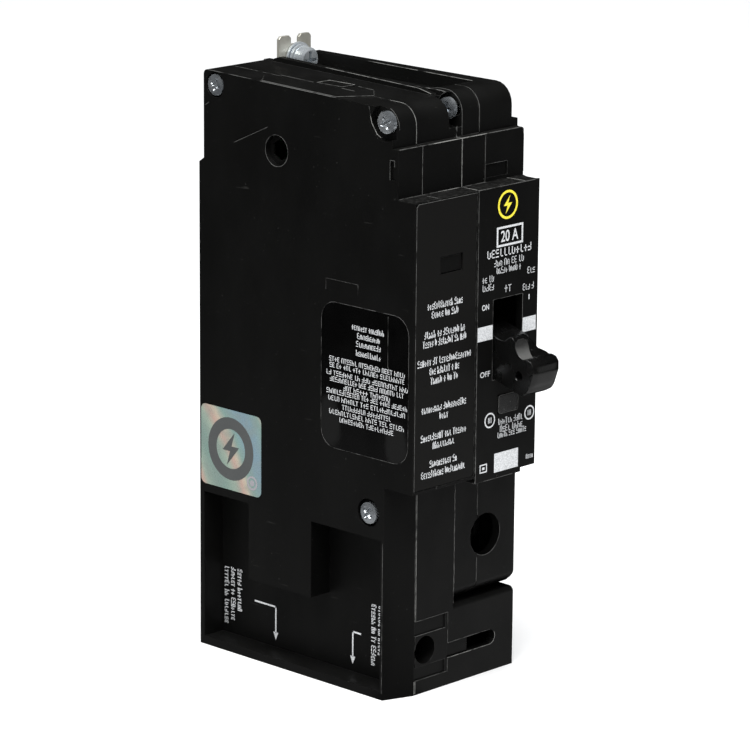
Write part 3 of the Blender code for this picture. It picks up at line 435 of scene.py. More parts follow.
def rounded_copy(name, node, width_mm, *materials, segments=2, angle=30, body=HOUSING, wide=()):
    """A copy of a CAD node with its edges rounded, standing for that node.

    wide lists (low, high, width): edges that lie in that box of device points are rounded more.
    """
    shape = bmesh.new()
    shape.from_mesh(frame["nodes"][node].data)
    bmesh.ops.remove_doubles(shape, verts=shape.verts, dist=0.002 * MM)
    flat = math.radians(1)
    bmesh.ops.dissolve_limit(shape, angle_limit=flat, verts=shape.verts, edges=shape.edges)
    for low, high, width in wide:
        low, high = at(*low), at(*high)
        chosen = [
            edge
            for edge in shape.edges
            if edge.is_manifold and edge.calc_face_angle() > math.radians(angle)
            and all(low[i] <= vert.co[i] <= high[i] for vert in edge.verts for i in range(3))
        ]
        bmesh.ops.bevel(
            shape, geom=chosen, offset=width * MM, offset_type="OFFSET", segments=5, profile=0.5,
            affect="EDGES",
        )
    copy = from_bmesh(name, shape)
    dress(copy, *materials)
    copy.data.shade_smooth()
    add_bevel(copy, width_mm, segments, angle, len(materials) - 1)
    copy = baked(copy, name)
    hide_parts(node)
    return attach(copy, body)


# ---------------- printing
def on_front(u, v, out):
    """Reading along +X, on the front of the escutcheon."""
    return at(u, ESCUTCHEON_Y - out, v)


def on_left(u, v, out):
    """Reading along -Y, on the left side: u is -Y."""
    return at(LEFT - out, -u, v)


def on_recess(u, v, out):
    """Reading downwards, on the floor of the recess in the left side: u is -Z and v is -Y."""
    return at(RECESS_FLOOR - out, -v, -u)


# Strokes of the stand-in characters, as (u0, v0, u1, v1) in a cell of width 1 and height 1
CHARACTERS = (
    ((0, 0, 0, 1), (1, 0, 1, 0.55), (0, 0.55, 1, 0.55)),
    ((0, 0, 0, 1), (0, 0, 1, 0), (1, 0, 1, 0.7)),
    ((0.5, 0, 0.5, 1), (0, 1, 1, 1)),
    ((0, 1, 1, 1), (0, 0.5, 1, 0.5), (0, 0, 1, 0), (0, 0.5, 0, 1)),
    ((0.3, 0, 0.3, 1), (0.3, 0, 1, 0)),
    ((0, 0, 0, 1), (1, 0, 1, 1), (0, 1, 1, 1)),
    ((0, 0, 1, 0), (1, 0, 1, 1), (0, 0.5, 1, 0.5)),
    ((0.5, 0, 0.5, 0.8), (0, 0.45, 1, 0.45)),
    ((0, 0, 0, 1), (0, 1, 1, 1), (0, 0.5, 0.8, 0.5), (0, 0, 1, 0)),
)


class Printing:
    """Thin raised marks on one face, gathered in one mesh."""

    def __init__(self, name, face, seed):
        self.name, self.face, self.chance = name, face, random.Random(seed)
        self.shape = bmesh.new()

    def band(self, outer, inner):
        """The strip between two closed outlines with as many points."""
        rings = []
        for outline, out in ((outer, INK), (inner, INK), (inner, -INK), (outer, -INK)):
            rings.append([self.shape.verts.new(self.face(u, v, out)) for u, v in outline])
        skin(self.shape, rings + rings[:1])

    def plate(self, outline):
        """A filled outline."""
        prism(self.shape, self.face, outline, INK, -INK)

    def area(self, u, v):
        self.plate(corners(u, v, 0))

    def box_line(self, u, v, width):
        self.band(corners(u, v, 0), corners(u, v, width))

    def ring(self, centre, outer, inner, sides=32):
        self.band(circle(centre, outer, sides), circle(centre, inner, sides))

    def stroke(self, start, end, width):
        """A bar from start to end, half a width longer at both ends."""
        start, end = Vector(start), Vector(end)
        along = (end - start).normalized() * (width / 2)
        side = Vector((-along.y, along.x))
        start, end = start - along, end + along
        self.plate([tuple(corner) for corner in (start - side, end - side, end + side, start + side)])

    def badge(self, centre, outer, inner, sides, bolt):
        """A ring around a bolt, whose corners are given from the centre."""
        self.ring(centre, outer, inner, sides)
        self.plate([(centre[0] + u, centre[1] + v) for u, v in bolt])

    def character(self, u, v, width, height, weight):
        def spot(across, up):
            return u + weight / 2 + across * (width - weight), v + weight / 2 + up * (height - weight)

        for u0, v0, u1, v1 in self.chance.choice(CHARACTERS):
            self.stroke(spot(u0, v0), spot(u1, v1), weight)

    def line(self, centre, level, width, words, height, weight, capitals=False):
        """Stand-in characters in words of the given lengths, filling width around centre."""
        space = 0.6
        cell = width / (sum(words) + space * (len(words) - 1))
        u = centre - width / 2
        for word in words:
            for i in range(word):
                tall = 1.0 if capitals else 1.28 if i == 0 or self.chance.random() < 0.22 else 1.0
                self.character(u + 0.1 * cell, level - height / 2, 0.8 * cell, tall * height, weight)
                u += cell
            u += space * cell

    def done(self, material):
        marks = dress(from_bmesh(self.name, self.shape), material)
        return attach(marks, HOUSING)


def between(place, start, end):
    """The value at a place on the line through start and end, each given as (place, value)."""
    return start[1] + (end[1] - start[1]) * (place - start[0]) / (end[0] - start[0])


def corners(u, v, inset):
    low_u, high_u, low_v, high_v = u[0] + inset, u[1] - inset, v[0] + inset, v[1] - inset
    return ((low_u, low_v), (high_u, low_v), (high_u, high_v), (low_u, high_v))


def arc_points(centre, radius, start, end, steps):
    """Points on an arc from start to end degrees."""
    points = []
    for i in range(steps + 1):
        angle = math.radians(start + (end - start) * i / steps)
        points.append((centre[0] + radius * math.cos(angle), centre[1] + radius * math.sin(angle)))
    return points


def turned(u, v, degrees):
    """The parts of (u, v) along and across a direction that is turned by some degrees."""
    angle = math.radians(degrees)
    return u * math.cos(angle) + v * math.sin(angle), v * math.cos(angle) - u * math.sin(angle)


def circle(centre, radius, sides=32):
    return arc_points(centre, radius, 0, 360, sides)[:-1]


def rounded(u, v, radius, steps=5):
    """A rectangle's outline with round corners."""
    outline = []
    low_low, high_low, high_high, low_high = corners(u, v, radius)
    for quarter, middle in enumerate((high_high, low_high, low_low, high_low)):
        outline += arc_points(middle, radius, 90 * quarter, 90 * quarter + 90, steps)
    return outline


def lettering(name, text, u, v, material):
    """Real characters, stretched to fill u and v on the front of the escutcheon."""
    curve = bpy.data.curves.new(name, "FONT")
    curve.body = text
    curve.extrude = INK * MM
    curve.offset = 0.012
    flat = baked(link(bpy.data.objects.new(name, curve)), name)
    points = [vertex.co.copy() for vertex in flat.data.vertices]
    low = [min(point[i] for point in points) for i in (0, 1)]
    high = [max(point[i] for point in points) for i in (0, 1)]
    for vertex, point in zip(flat.data.vertices, points):
        across = between(point.x, (low[0], u[0]), (high[0], u[1]))
        up = between(point.y, (low[1], v[0]), (high[1], v[1]))
        vertex.co = on_front(across, up, point.z / MM)
    dress(flat, material)
    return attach(flat, HOUSING)


def print_test_label(paints):
    """Lines of stand-in text: letters in each word, width and height above the base."""
    marks = Printing("test_label_printing", on_front, 11)
    middle, height, weight = -13.1, 1.6, 0.3
    for words, width, level in (
        ((12, 4), 14.3, 114.5),
        ((5, 2, 3), 10.9, 111.9),
        ((5, 2, 7, 2), 16.5, 106.5),
        ((5, 1, 7, 2, 3), 17.6, 104.0),
        ((6, 2, 14), 21.8, 98.8),
        ((3, 6, 1, 2), 12.1, 96.0),
        ((5, 1, 2, 2), 11.1, 93.3),
        ((9, 10), 18.2, 85.4),
        ((4,), 3.65, 82.8),
        ((10, 3, 6), 18.5, 77.4),
        ((9,), 8.9, 74.8),
        ((10, 2), 11.2, 69.65),
        ((10, 9), 17.9, 66.8),
    ):
        marks.line(middle, level, width, words, height, weight)
    marks.done(paints["white_ink"])


def print_side_label(paints):
    """A heading of four lines, and a block of ten."""
    marks = Printing("side_label_printing", on_left, 12)
    for words, width, level, middle in (
        ((7, 7), 12.5, 105.9, 10.06),
        ((11,), 8.8, 103.6, 9.75),
        ((10,), 9.6, 101.3, 9.75),
        ((11,), 9.6, 98.7, 9.75),
    ):
        marks.line(-middle, level, width, words, 1.3, 0.2)
    for words, width, level in (
        ((4, 6, 8, 4, 4), 29.2, 95.6),
        ((2, 2, 3, 3, 6, 9), 28.9, 93.8),
        ((2, 7, 2, 3, 9, 3), 31.6, 91.6),
        ((11, 3, 4, 6, 3), 28.5, 89.8),
        ((3, 5, 7), 18.1, 87.9),
        ((13, 3, 3, 4, 6), 31.2, 86.3),
        ((4, 6, 3, 12), 29.7, 84.3),
        ((9, 9), 18.9, 82.3),
        ((12, 4, 3, 5), 29.0, 80.4),
        ((9, 10), 20.9, 78.5),
    ):
        marks.line(-10.35, level, width, words, 1.4, 0.18, capitals=True)
    marks.done(paints["white_ink"])


def print_recess(paints):
    """Two blocks of text, each with an arrow down to a wire's way in."""
    marks = Printing("recess_printing", on_recess, 13)
    for words, y, top, low in (
        ((6, 2, 7), 73.8, 22.7, 5.0),
        ((6, 2, 7), 71.1, 22.8, 6.5),
        ((5, 7), 68.35, 22.8, 9.8),
        ((6, 2, 2, 6), 13.95, 24.4, 6.0),
        ((6, 2, 5), 11.3, 24.4, 9.6),
    ):
        marks.line(-(top + low) / 2, -y - 0.2, top - low, words, 1.5, 0.3)
    line_width, barb_length, barb_half = 0.5, 2.3, 1.0
    for start_y, turn_y, high, tip in ((61.9, 53.4, 14.6, 4.6), (19.2, 22.2, 14.3, 4.7)):
        barb_base = -tip - barb_length
        marks.stroke((-high, -start_y), (-high, -turn_y), line_width)
        marks.stroke((-high, -turn_y), (barb_base, -turn_y), line_width)
        marks.plate(((-tip, -turn_y), (barb_base, barb_half - turn_y), (barb_base, -barb_half - turn_y)))
    marks.done(paints["white_ink"])


def print_breaker_face(paints):
    """The rating in its frame, lines of stand-in text, two marks, white areas and the emblem."""
    white = paints["white_ink"]
    marks = Printing("breaker_printing", on_front, 14)
    marks.box_line((7.6, 18.5), (127.0, 132.7), 0.6)
    marks.line(12.95, 125.4, 18.5, (11,), 2.3, 0.32, capitals=True)
    for words, low, high, level, height in (
        ((3, 2, 2, 2), 6.6, 19.1, 122.4, 1.5),
        ((5, 4, 1), 7.7, 17.9, 120.2, 1.5),
        ((3,), 20.5, 23.8, 118.4, 1.5),
        ((2, 2), 1.8, 6.75, 118.35, 1.5),
        ((5,), 1.85, 6.8, 116.0, 1.5),
        ((2,), 11.0, 14.1, 114.75, 2.0),
        ((3, 1), 18.7, 23.5, 113.8, 1.5),
        ((6, 4), 9.4, 19.7, 76.5, 1.5),
        ((4, 4), 10.1, 19.7, 74.3, 1.5),
        ((5, 3, 5), 9.05, 21.3, 72.6, 1.3),
        ((4,), 21.3, 24.4, 64.2, 1.1),
    ):
        marks.line((low + high) / 2, level, high - low, words, height, 0.21)
    marks.stroke((21.5, 110.4), (21.5, 111.4), 0.4)
    for centre, outer in (((5.9, 77.8), 2.2), ((22.5, 77.1), 2.1)):
        marks.ring(centre, outer, outer - 0.42)
        for shift in (-0.55, 0.0, 0.55):
            marks.stroke((centre[0] + shift, centre[1] - 0.7), (centre[0] + shift, centre[1] + 0.7), 0.22)
    marks.box_line((2.0, 5.0), (63.0, 65.5), 0.35)
    marks.area((3.0, 4.0), (63.9, 64.6))
    for u, v in (
        ((0.35, 6.5), (101.2, 105.3)),
        ((18.95, 24.5), (101.0, 105.2)),
        ((8.0, 18.0), (62.15, 67.7)),
    ):
        marks.area(u, v)
    marks.done(white)

    emblem = Printing("breaker_emblem", on_front, 15)
    bolt = ((0.9, 2.6), (-1.7, -0.3), (-0.1, -0.3), (-0.9, -2.6), (1.7, 0.4), (0.1, 0.4))
    emblem.badge((12.0, 138.7), 4.1, 3.4, 48, bolt)
    emblem.done(paints["yellow_ink"])

    lettering("rating_number", "20", (9.35, 12.9), (128.3, 131.5), white)
    lettering("rating_unit", "A", (13.95, 16.5), (128.3, 131.5), white)
    lettering("on_lettering", "ON", (2.0, 4.85), (109.9, 111.5), white)
    lettering("off_lettering", "OFF", (1.6, 5.7), (90.7, 92.3), white)


# ---------------- seams and scuffs
# Plain numbers in the paths below are places that were measured on the device.
def traces(name, material, radius, *paths):
    """Thin ridges of moulding fins or scuffed edges, along open paths of device points; their light colour
    is partly a painted highlight of the edges.
    """
    curve = bpy.data.curves.new(name, "CURVE")
    curve.dimensions = "3D"
    curve.bevel_depth = radius * MM
    curve.bevel_resolution = 1
    curve.use_fill_caps = True
    for path in paths:
        spline = curve.splines.new("POLY")
        spline.points.add(len(path) - 1)
        for point, place in zip(spline.points, path):
            point.co = (*at(*place), 1.0)
    ridge = baked(link(bpy.data.objects.new(name, curve)), name)
    dress(ridge, material)
    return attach(ridge, HOUSING)


def side_arc(x, centre, radius, start, end, steps=16):
    """An arc on a plane across X, about centre (Y, Z)."""
    return [(x, y, z) for y, z in arc_points(centre, radius, start, end, steps)]


def front_arc(y, centre, radius, start, end, steps=20):
    """An arc on a plane across Y, about centre (X, Z)."""
    return [(x, y, z) for x, z in arc_points(centre, radius, start, end, steps)]


def rise(x, y, low, high):
    """A line along Z."""
    return [(x, y, low), (x, y, high)]


def span(y, z, left, right):
    """A line along X."""
    return [(left, y, z), (right, y, z)]


def crown_path(x, top, back):
    """Up the front of the crown and along the top to back."""
    centre = (CROWN_Y + CROWN_RADIUS, top - CROWN_RADIUS)
    crown = side_arc(x, centre, CROWN_RADIUS, 180, 90, steps=8)
    return [(x, CROWN_Y, SHOULDER_HIGH + 0.2), *crown, (x, back, top)]


def ledge_path(x):
    """Down the shoulder and forward over the ledge."""
    return [
        (x, SHOULDER_Y, SHOULDER_HIGH - 0.2),
        (x, SHOULDER_Y, ESCUTCHEON_HIGH),
        (x, ESCUTCHEON_Y + 0.9, ESCUTCHEON_HIGH),
        (x + 0.2, ESCUTCHEON_Y, ESCUTCHEON_HIGH - 0.6),
    ]


def module_top(y):
    """Height of the module's sloping top."""
    return between(y, (CROWN_Y + CROWN_RADIUS, MODULE_TOP), (DEPTH - 1.9, MODULE_REAR_TOP))


def top_path(*points, lift=0.0):
    """A path over the module's top, through points (X, Y)."""
    return [(x, y, module_top(y) + lift) for x, y in points]


def rail_edge(y):
    """A point on the left top edge of the module's rail along the centre seam."""
    return RAIL_LEFT, y, between(y, RAIL_FRONT, RAIL_REAR)


def far_rim(y):
    """A point on the top edge of the breaker's well, on the far side."""
    return between(y, WELL_RIGHT_FRONT, WELL_RIGHT_REAR), y, BREAKER_TOP


def seam_traces(paints):
    """Moulding fins along the joints between the shells, and along the steps of the front and the top,
    partly painted light as the highlight of these edges.
    """
    cover, centre, case = COVER_SEAM, CENTRE_SEAM, CASE_SEAM
    before, beside = cover - 0.1, cover + 0.35  # the two lines of the module's lower front
    insert_low, insert_high, breaker_low = 4.0, 21.9, 61.0
    step_x, step_z = 18.7, 149.3  # corner of the plate outlined on the breaker's shoulder
    plate = [(x, y, TOP_PLATE_HIGH) for x, y in corners(TOP_PLATE_X, TOP_PLATE_Y, 0)]
    traces(
        "seam_flash_and_highlight", paints["flash"], 0.08,
        crown_path(cover, MODULE_TOP, 17.0),
        ledge_path(centre),
        [far_rim(54.0), far_rim(33.5)],
        [far_rim(31.0), far_rim(11.5)],
        [rail_edge(50.0), rail_edge(RAIL_FRONT[0]), (RAIL_LEFT, RAIL_FRONT[0] - 5, RAIL_FRONT[1] - 1)],
        [plate[3], plate[2], plate[1]],
        rise(beside, 0, insert_high, 61.3),
        rise(before, 0, 0.5, insert_low),
        rise(beside, 0, 0.5, insert_low),
        [
            (step_x, SHOULDER_Y, ESCUTCHEON_HIGH),
            (step_x + 0.2, SHOULDER_Y - 1, ESCUTCHEON_HIGH),
            (step_x + 0.7, ESCUTCHEON_Y + 0.3, ESCUTCHEON_HIGH),
        ],
    )
    traces(
        "soft_seam_flash_and_highlight", paints["soft_flash"], 0.075,
        crown_path(case, BREAKER_TOP, 10.8),
        crown_path(NOTCH_RIGHT, BREAKER_TOP, 10.8),
        ledge_path(cover),
        rise(case, SHOULDER_Y, SHOULDER_HIGH - 0.2, ESCUTCHEON_HIGH),
        [(case, SHOULDER_Y, step_z), (step_x, SHOULDER_Y, step_z), (step_x, SHOULDER_Y, step_z - 4)],
        [(centre + 0.15, ESCUTCHEON_Y, ESCUTCHEON_HIGH - 0.5), (centre + 0.3, ESCUTCHEON_Y, breaker_low)],
        [plate[3], plate[0], plate[1]],
        top_path((cover, 54.0), (cover, 41.0), lift=PAD_HEIGHT),
        top_path((cover, 30.0), (cover, 25.0), lift=PAD_HEIGHT),
        top_path((-9.2, 30.0), (-9.4, 24.0)),
        rise(case, 0, 28.3, 35.4),
        rise(case, 0, 48.0, 60.2),
        rise(before, 0, insert_high, breaker_low),
        span(ESCUTCHEON_Y, BREAKER_LIP + 0.1, 3.4, 15.8),
    )
    traces(
        "step_flash_and_highlight", paints["flash"], 0.12,
        span(SHOULDER_Y, SHOULDER_HIGH, -12.5, 10.0),
        span(SHOULDER_Y, ESCUTCHEON_HIGH, -9.5, -0.5),
    )
    traces(
        "soft_step_flash_and_highlight", paints["soft_flash"], 0.11,
        span(SHOULDER_Y, SHOULDER_HIGH, -25.0, -12.5),
        span(SHOULDER_Y, SHOULDER_HIGH, 10.0, 24.4),
        span(SHOULDER_Y, ESCUTCHEON_HIGH, -25.1, -9.5),
        span(SHOULDER_Y, ESCUTCHEON_HIGH, -0.5, 9.6),
        span(ESCUTCHEON_Y, ESCUTCHEON_HIGH - 0.1, -0.2, 23.2),
        top_path((LEFT, 52.5), (LEFT, 23.0)),
    )
    traces(
        "dotted_flash", paints["dotted_flash"], 0.075,
        rise(centre, 0, FOOT_TOP + 0.4, breaker_low),
        rise(LEFT, 3.65, 2.0, 46.0),
        top_path((LEFT, 73.6), (LEFT, 56.0)),
        rise(RIGHT, SHOULDER_Y, SHOULDER_HIGH - 2.0, ESCUTCHEON_HIGH + 1.0),
    )


def rim_traces(paints):
    """Light rims of openings, seats and plates: fins and a painted highlight along these edges."""
    insert_left, insert_right, insert_y = COVER_SEAM + 0.25, -2.15, 0.05
    insert_low, insert_high = 4.15, 21.7
    slot_end, slot_z, slot_round = 15.5, 10.3, 2.25
    handle_left, handle_right, handle_low, handle_high = 6.55, 18.85, 89.2, 112.35
    notch_y, port, port_rim = 10.6, (45.9, 151.3), 4.5
    crown_centre = (CROWN_Y + CROWN_RADIUS, MODULE_TOP - CROWN_RADIUS)
    finger_y, finger_z = (0.4, 2.1), (149.4, 154.9)
    traces(
        "rim_flash_and_highlight", paints["soft_flash"], 0.08,
        front_arc(0, (12.9, 41.7), 6.25, -120, 20),
        [*span(insert_y, insert_high, insert_left, insert_right), (insert_right, insert_y, 12.7)],
        [*rise(insert_right, insert_y, 7.9, insert_low), (insert_left, insert_y, insert_low)],
        span(insert_y + 0.1, 17.35, insert_left, -3.3),
        span(0, slot_z + slot_round, insert_right, slot_end),
        rise(handle_right, ESCUTCHEON_Y, 112.3, handle_low),
        [(2.1, notch_y, BREAKER_TOP), (0.3, notch_y + 0.6, BREAKER_TOP)],
        [*rise(LEFT, finger_y[1], *finger_z), *rise(LEFT, finger_y[0], finger_z[1], 153.2)],
        rise(0.4, CROWN_Y, 161.0, 159.6),
        side_arc(LEFT + 2.9, crown_centre, CROWN_RADIUS, 115, 180),
        side_arc(LEFT, port, port_rim, 200, 300),
    )
    slot_arc = front_arc(0, (slot_end, slot_z), slot_round, 30, -90)
    traces(
        "bright_rim_flash_and_highlight", paints["flash"], 0.08,
        [*slot_arc, (insert_right, 0, slot_z - slot_round)],
        [(LEFT, 9.6, 166.0), (LEFT, 9.1, 164.2), (LEFT, 7.1, 161.4), (LEFT, 5.6, 160.6)],
    )
    label = [(LEFT, y, z) for y, z in rounded((-5.6, 28.0), (69.9, 111.9), 5.3)]
    patch_y, patch_z = (13.9, 26.3), (115.0, 118.2)  # the plate outlined above the side label
    traces(
        "faint_rims", paints["dotted_flash"], 0.06,
        side_arc(LEFT, port, port_rim, -60, 200),
        [(LEFT, 63.0, 151.3), (LEFT, 56.5, 154.3), (LEFT, 49.5, 157.5)],
        [*rise(LEFT, patch_y[1], *patch_z), *reversed(rise(LEFT, patch_y[0], *patch_z))],
        [(LEFT, 2.3, 111.2), (LEFT, 2.3, 97.0), (LEFT, 1.4, 95.5)],
        [(LEFT, 74.8, 160.4), (LEFT, 73.1, 161.5)],
        span(insert_y + 0.1, 8.1, -9.0, -3.3),
        [
            *rise(handle_left, ESCUTCHEON_Y, handle_low, handle_high),
            (handle_right, ESCUTCHEON_Y, handle_high),
        ],
        span(ESCUTCHEON_Y, handle_low, handle_left, 10.5),
        [(LEFT, 10.2, 168.7), (LEFT, 9.6, 166.0)],
        [*label, (LEFT, 28.0, 106.6)],
    )
    label_high = 143.75
    traces(
        "label_rim", paints["soft_flash"], 0.075,
        [
            *rise(LEFT + 0.65, ESCUTCHEON_Y, 63.0, label_high - 0.8),
            *span(ESCUTCHEON_Y, label_high, LEFT + 1.4, -0.9),
        ],
    )
    lens = [(x, ESCUTCHEON_Y - 0.3, z) for x, z in rounded((9.25, 17.3), (79.1, 84.4), 0.8)]
    traces("lens_rim", paints["soft_flash"], 0.08, [*lens, lens[0]])


# ---------------- thin pieces over the shells
def make_sticker(paints):
    """The security sticker's motif: a ring with a bolt, and a small seal."""
    motif = Printing("sticker_motif", on_left, 16)
    bolt = ((1.6, 5.0), (-3.4, -0.7), (-0.3, -0.7), (-1.6, -5.0), (3.4, 0.8), (0.3, 0.8))
    motif.badge((-64.4, 61.4), 9.3, 5.9, 56, bolt)
    motif.done(paints["foil_grey"])
    seal = Printing("sticker_seal", on_left, 17)
    seal.ring((-55.6, 52.9), 2.1, 1.5, 28)
    seal.plate(circle((-55.6, 52.9), 0.9, 18))
    seal.done(paints["foil_light"])


def make_top_pad(paints):
    """The pad where the module's case laps over the top of its cover."""

    def on_top(x, y, out):
        return at(x, y, module_top(y) + out)

    left, rear, front, peak = LEFT + 0.1, 52.0, 23.0, 17.4
    case_edge = ((-10.6, 22.6), (-13.0, 48.0), (-19.4, 57.0))
    outline = ((left, rear), (left, front), (COVER_SEAM, peak), *case_edge)
    shape = bmesh.new()
    prism(shape, on_top, outline, PAD_HEIGHT, -0.1)
    pad = dress(from_bmesh("top_pad", shape), paints["case_plastic"], paints["soft_flash"])
    bevel = pad.modifiers.new("bevel", "BEVEL")
    # its rounded edges take the light seam paint, partly a painted highlight
    bevel.width, bevel.segments, bevel.limit_method, bevel.material = 0.1 * MM, 2, "ANGLE", 1
    pad = baked(pad, "top_pad")
    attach(pad, HOUSING)


def make_face_film(paints):
    """The thin front plate of the breaker, which hides the joint between its two shells."""
    u, v = (0.4, RIGHT - 0.55), (ESCUTCHEON_LOW + 0.1, ESCUTCHEON_HIGH - 0.5)
    slot, lens = ((6.6, 18.8), (89.3, 112.3)), ((9.0, 17.5), (78.9, 84.6))
    strips, top = [], v[1]
    for (left, right), (low, high) in (slot, lens):
        strips += [(u, (high, top)), ((u[0], left), (low, high)), ((right, u[1]), (low, high))]
        top = low
    strips.append((u, (v[0], top)))
    shape = bmesh.new()
    for across, up in strips:
        prism(shape, on_front, corners(across, up, 0), 0.015, -0.05)
    film = dress(from_bmesh("breaker_face_film", shape), paints["case_plastic"])
    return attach(film, HOUSING)


# ---------------- stage
def make_stage():
    """A pale floor that fills the view, a pale sky, two soft panels and two cards that face up."""
    shape = bmesh.new()
    bmesh.ops.create_circle(shape, cap_ends=True, segments=96, radius=14.0)
    paint = Painter("floor_paint", roughness=0.9, specular=0.1)
    pale = paint.done(paint.mix(paint.noise(900, 2), (0.86, 0.86, 0.86), (0.89, 0.89, 0.89)))
    floor = dress(from_bmesh("floor", shape), pale)
    floor.visible_glossy = False

    world = bpy.data.worlds.new("studio")
    bpy.context.scene.world = world
    world.use_nodes = True
    sky = world.node_tree.nodes["Background"]
    sky.inputs["Color"].default_value = (0.98, 0.99, 1.0, 1.0)
    sky.inputs["Strength"].default_value = 1.05
    world.cycles_visibility.glossy = False

    panels = (
        # name, place, aimed at, size, watts
        ("top_panel", (-260, -120, 900), (0, 30, 80), (600, 600), 11.0),
        ("right_panel", (700, -620, 40), (0, 0, 60), (420, 260), 0.08),
        ("front_card", (110, -120, -1), (110, -120, 500), (240, 240), 0.062),
        ("side_card", (-115, 130, -1), (-115, 130, 500), (240, 240), 0.035),
    )
    for name, place, aim, size, watts in panels:
        light = bpy.data.lights.new(name, "AREA")
        light.shape = "RECTANGLE"
        light.size, light.size_y = size[0] * MM, size[1] * MM
        light.energy = watts
        lamp = link(bpy.data.objects.new(name, light))
        lamp.visible_camera = False
        lamp.location = at(*place)
        lamp.rotation_euler = (at(*aim) - at(*place)).to_track_quat("-Z", "Y").to_euler()
    bpy.context.scene.view_settings.view_transform = "Standard"


# ---------------- the object
def dress_cad_nodes(paints):
    """Every CAD node gets the material of its slot; pieces made later stand for some of them."""
    for part in frame["record"]["subparts"]:
        name, slot = part["node"], part["material_slot"]
        dress(frame["nodes"][name], paints[name if slot == "label_film" else slot])
    # the inner parts seen through the openings get dark steel, as painted shade inside the case
    for name in SHADED_INNER_PARTS:
        dress(frame["nodes"][name], paints["dark_steel"])


def make_shells(paints):
    """Rounded copies of the shells and of the small pieces that show."""
    case, edge = paints["case_plastic"], paints["case_edge"]
    near, past = 0.2, 0.3

    def edge_box(x, y, z, width):
        """The box around an edge, given as a value or a range along each axis, and its rounding."""
        ends = [value if isinstance(value, tuple) else (value, value) for value in (x, y, z)]
        return [end[0] - near for end in ends], [end[1] + past for end in ends], width

    rear_top = edge_box((LEFT, 0), (DEPTH - 3, DEPTH - 1), MODULE_REAR_TOP, 1.5)
    foot_edge = edge_box((CENTRE_SEAM, RIGHT), 0, FOOT_TOP, 1.5)
    wide = {
        "module_cover": [rear_top],
        "module_case": [rear_top, foot_edge],
        "breaker_cover": [],
        "breaker_case": [
            edge_box(RIGHT, ESCUTCHEON_Y, (BREAKER_LIP, ESCUTCHEON_HIGH), 0.5),
            edge_box(RIGHT, (ESCUTCHEON_Y, SHOULDER_Y), ESCUTCHEON_HIGH, 1.3),
            edge_box(RIGHT, (SHOULDER_Y, DEPTH), SHOULDER_HIGH, 0.9),
        ],
    }
    for node, edges in wide.items():
        shell = rounded_copy(f"{node}_shell", node, 0.32, case, edge, segments=3, wide=edges)
    insert = rounded_copy("neutral_insert_shell", "neutral_insert", 0.22, case, edge)
    button = rounded_copy("test_button_cap", "test_button", 0.25, case, edge, body="test_button")
    lens = rounded_copy("indicator_lens_cap", "indicator_lens", 0.3, paints["lens_plastic"], segments=3)
    tab = rounded_copy("line_terminal_tab", "line_terminal", 0.35, paints["tinned_copper"], segments=3)


def head_depth(y, z, turn):
    """How far a domed head with a soft cross recess lies behind its face."""
    rim_depth, dome, fall, top_share = 0.5, 0.7, 0.82, 0.58
    recess, arm_end, steepness = 0.75, 0.5, 1.6
    spread = math.hypot(y, z) / HEAD_RADIUS
    depth = rim_depth + dome * (1 - math.sqrt(max(0.0, 1 - fall * spread**2)) - top_share)
    along, across = turned(y, z, turn)
    deepest = 0.0
    for far, side in ((along, across), (across, along)):
        inside = max(0.0, 1 - (side / CROSS_HALF_WIDTH) ** 2)
        inside *= max(0.0, min(1.0, (CROSS_REACH - abs(far)) / arm_end))
        deepest = max(deepest, min(1.0, steepness * inside))
    return depth + recess * deepest


def make_screw_head(paints, name, centre, face_x, turn):
    """A turned grid in place of a CAD screw, with the recess in its own darker material, which paints the
    shade in it.
    """
    around, steps, floor_share = 48, 14, 0.8
    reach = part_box(name)[1].x / MM - face_x
    shape = bmesh.new()

    def ring(radius, depth=None):
        """A ring of points: on the head's surface, or all at one depth."""
        row = []
        for y, z in circle((0, 0), radius, around):
            behind = head_depth(y, z, turn) if depth is None else depth
            row.append(shape.verts.new(at(face_x + behind, centre[0] + y, centre[1] + z)))
        return row

    rows = [ring(HEAD_RADIUS * (i + 1) / steps) for i in range(steps)]
    rows += [ring(HEAD_RADIUS, HEAD_HEIGHT), ring(SHANK_RADIUS, HEAD_HEIGHT), ring(SHANK_RADIUS, reach)]
    middle = shape.verts.new(at(face_x + head_depth(0, 0, turn), *centre))
    for i in range(around):
        shape.faces.new((middle, rows[0][i], rows[0][(i + 1) % around]))
    skin(shape, rows)
    shape.faces.new(rows[-1])
    for face in shape.faces:
        place = sum((vert.co for vert in face.verts), Vector()) / len(face.verts) / MM
        along, across = turned(place.y - ORIGIN_Y - centre[0], place.z - centre[1], turn)
        in_arm = min(abs(along), abs(across)) < floor_share * CROSS_HALF_WIDTH
        face.material_index = int(in_arm and math.hypot(along, across) < CROSS_REACH)
    screw = from_bmesh(f"{name}_head", shape)
    dress(screw, paints["screw_heads"], paints["recess_steel"], smooth_angle=50)
    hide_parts(name)
    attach(screw, HOUSING)


def make_screw_heads(paints):
    """Each screw has its centre as (Y, Z), the X of its face and the turn of its cross."""
    side_x, notch_x = LEFT - 0.15, 0.1
    for name, centre, face_x, turn in (
        ("cover_screw_upper_rear", (70.8, 166.7), side_x, 20),
        ("cover_screw_upper_front", (4.2, 164.9), side_x, 62),
        ("cover_screw_lower", (9.6, 53.6), side_x, 38),
        ("breaker_screw", (5.7, 165.4), notch_x, 12),
    ):
        make_screw_head(paints, name, centre, face_x, turn)


def handle_point(x, out, up):
    """A device point of the handle, from its distances out from the pivot and up when it is level."""
    out, up = turned(out, up, HANDLE_OFF_ANGLE)
    return at(x, HANDLE_PIVOT[0] - out, HANDLE_PIVOT[1] + up)


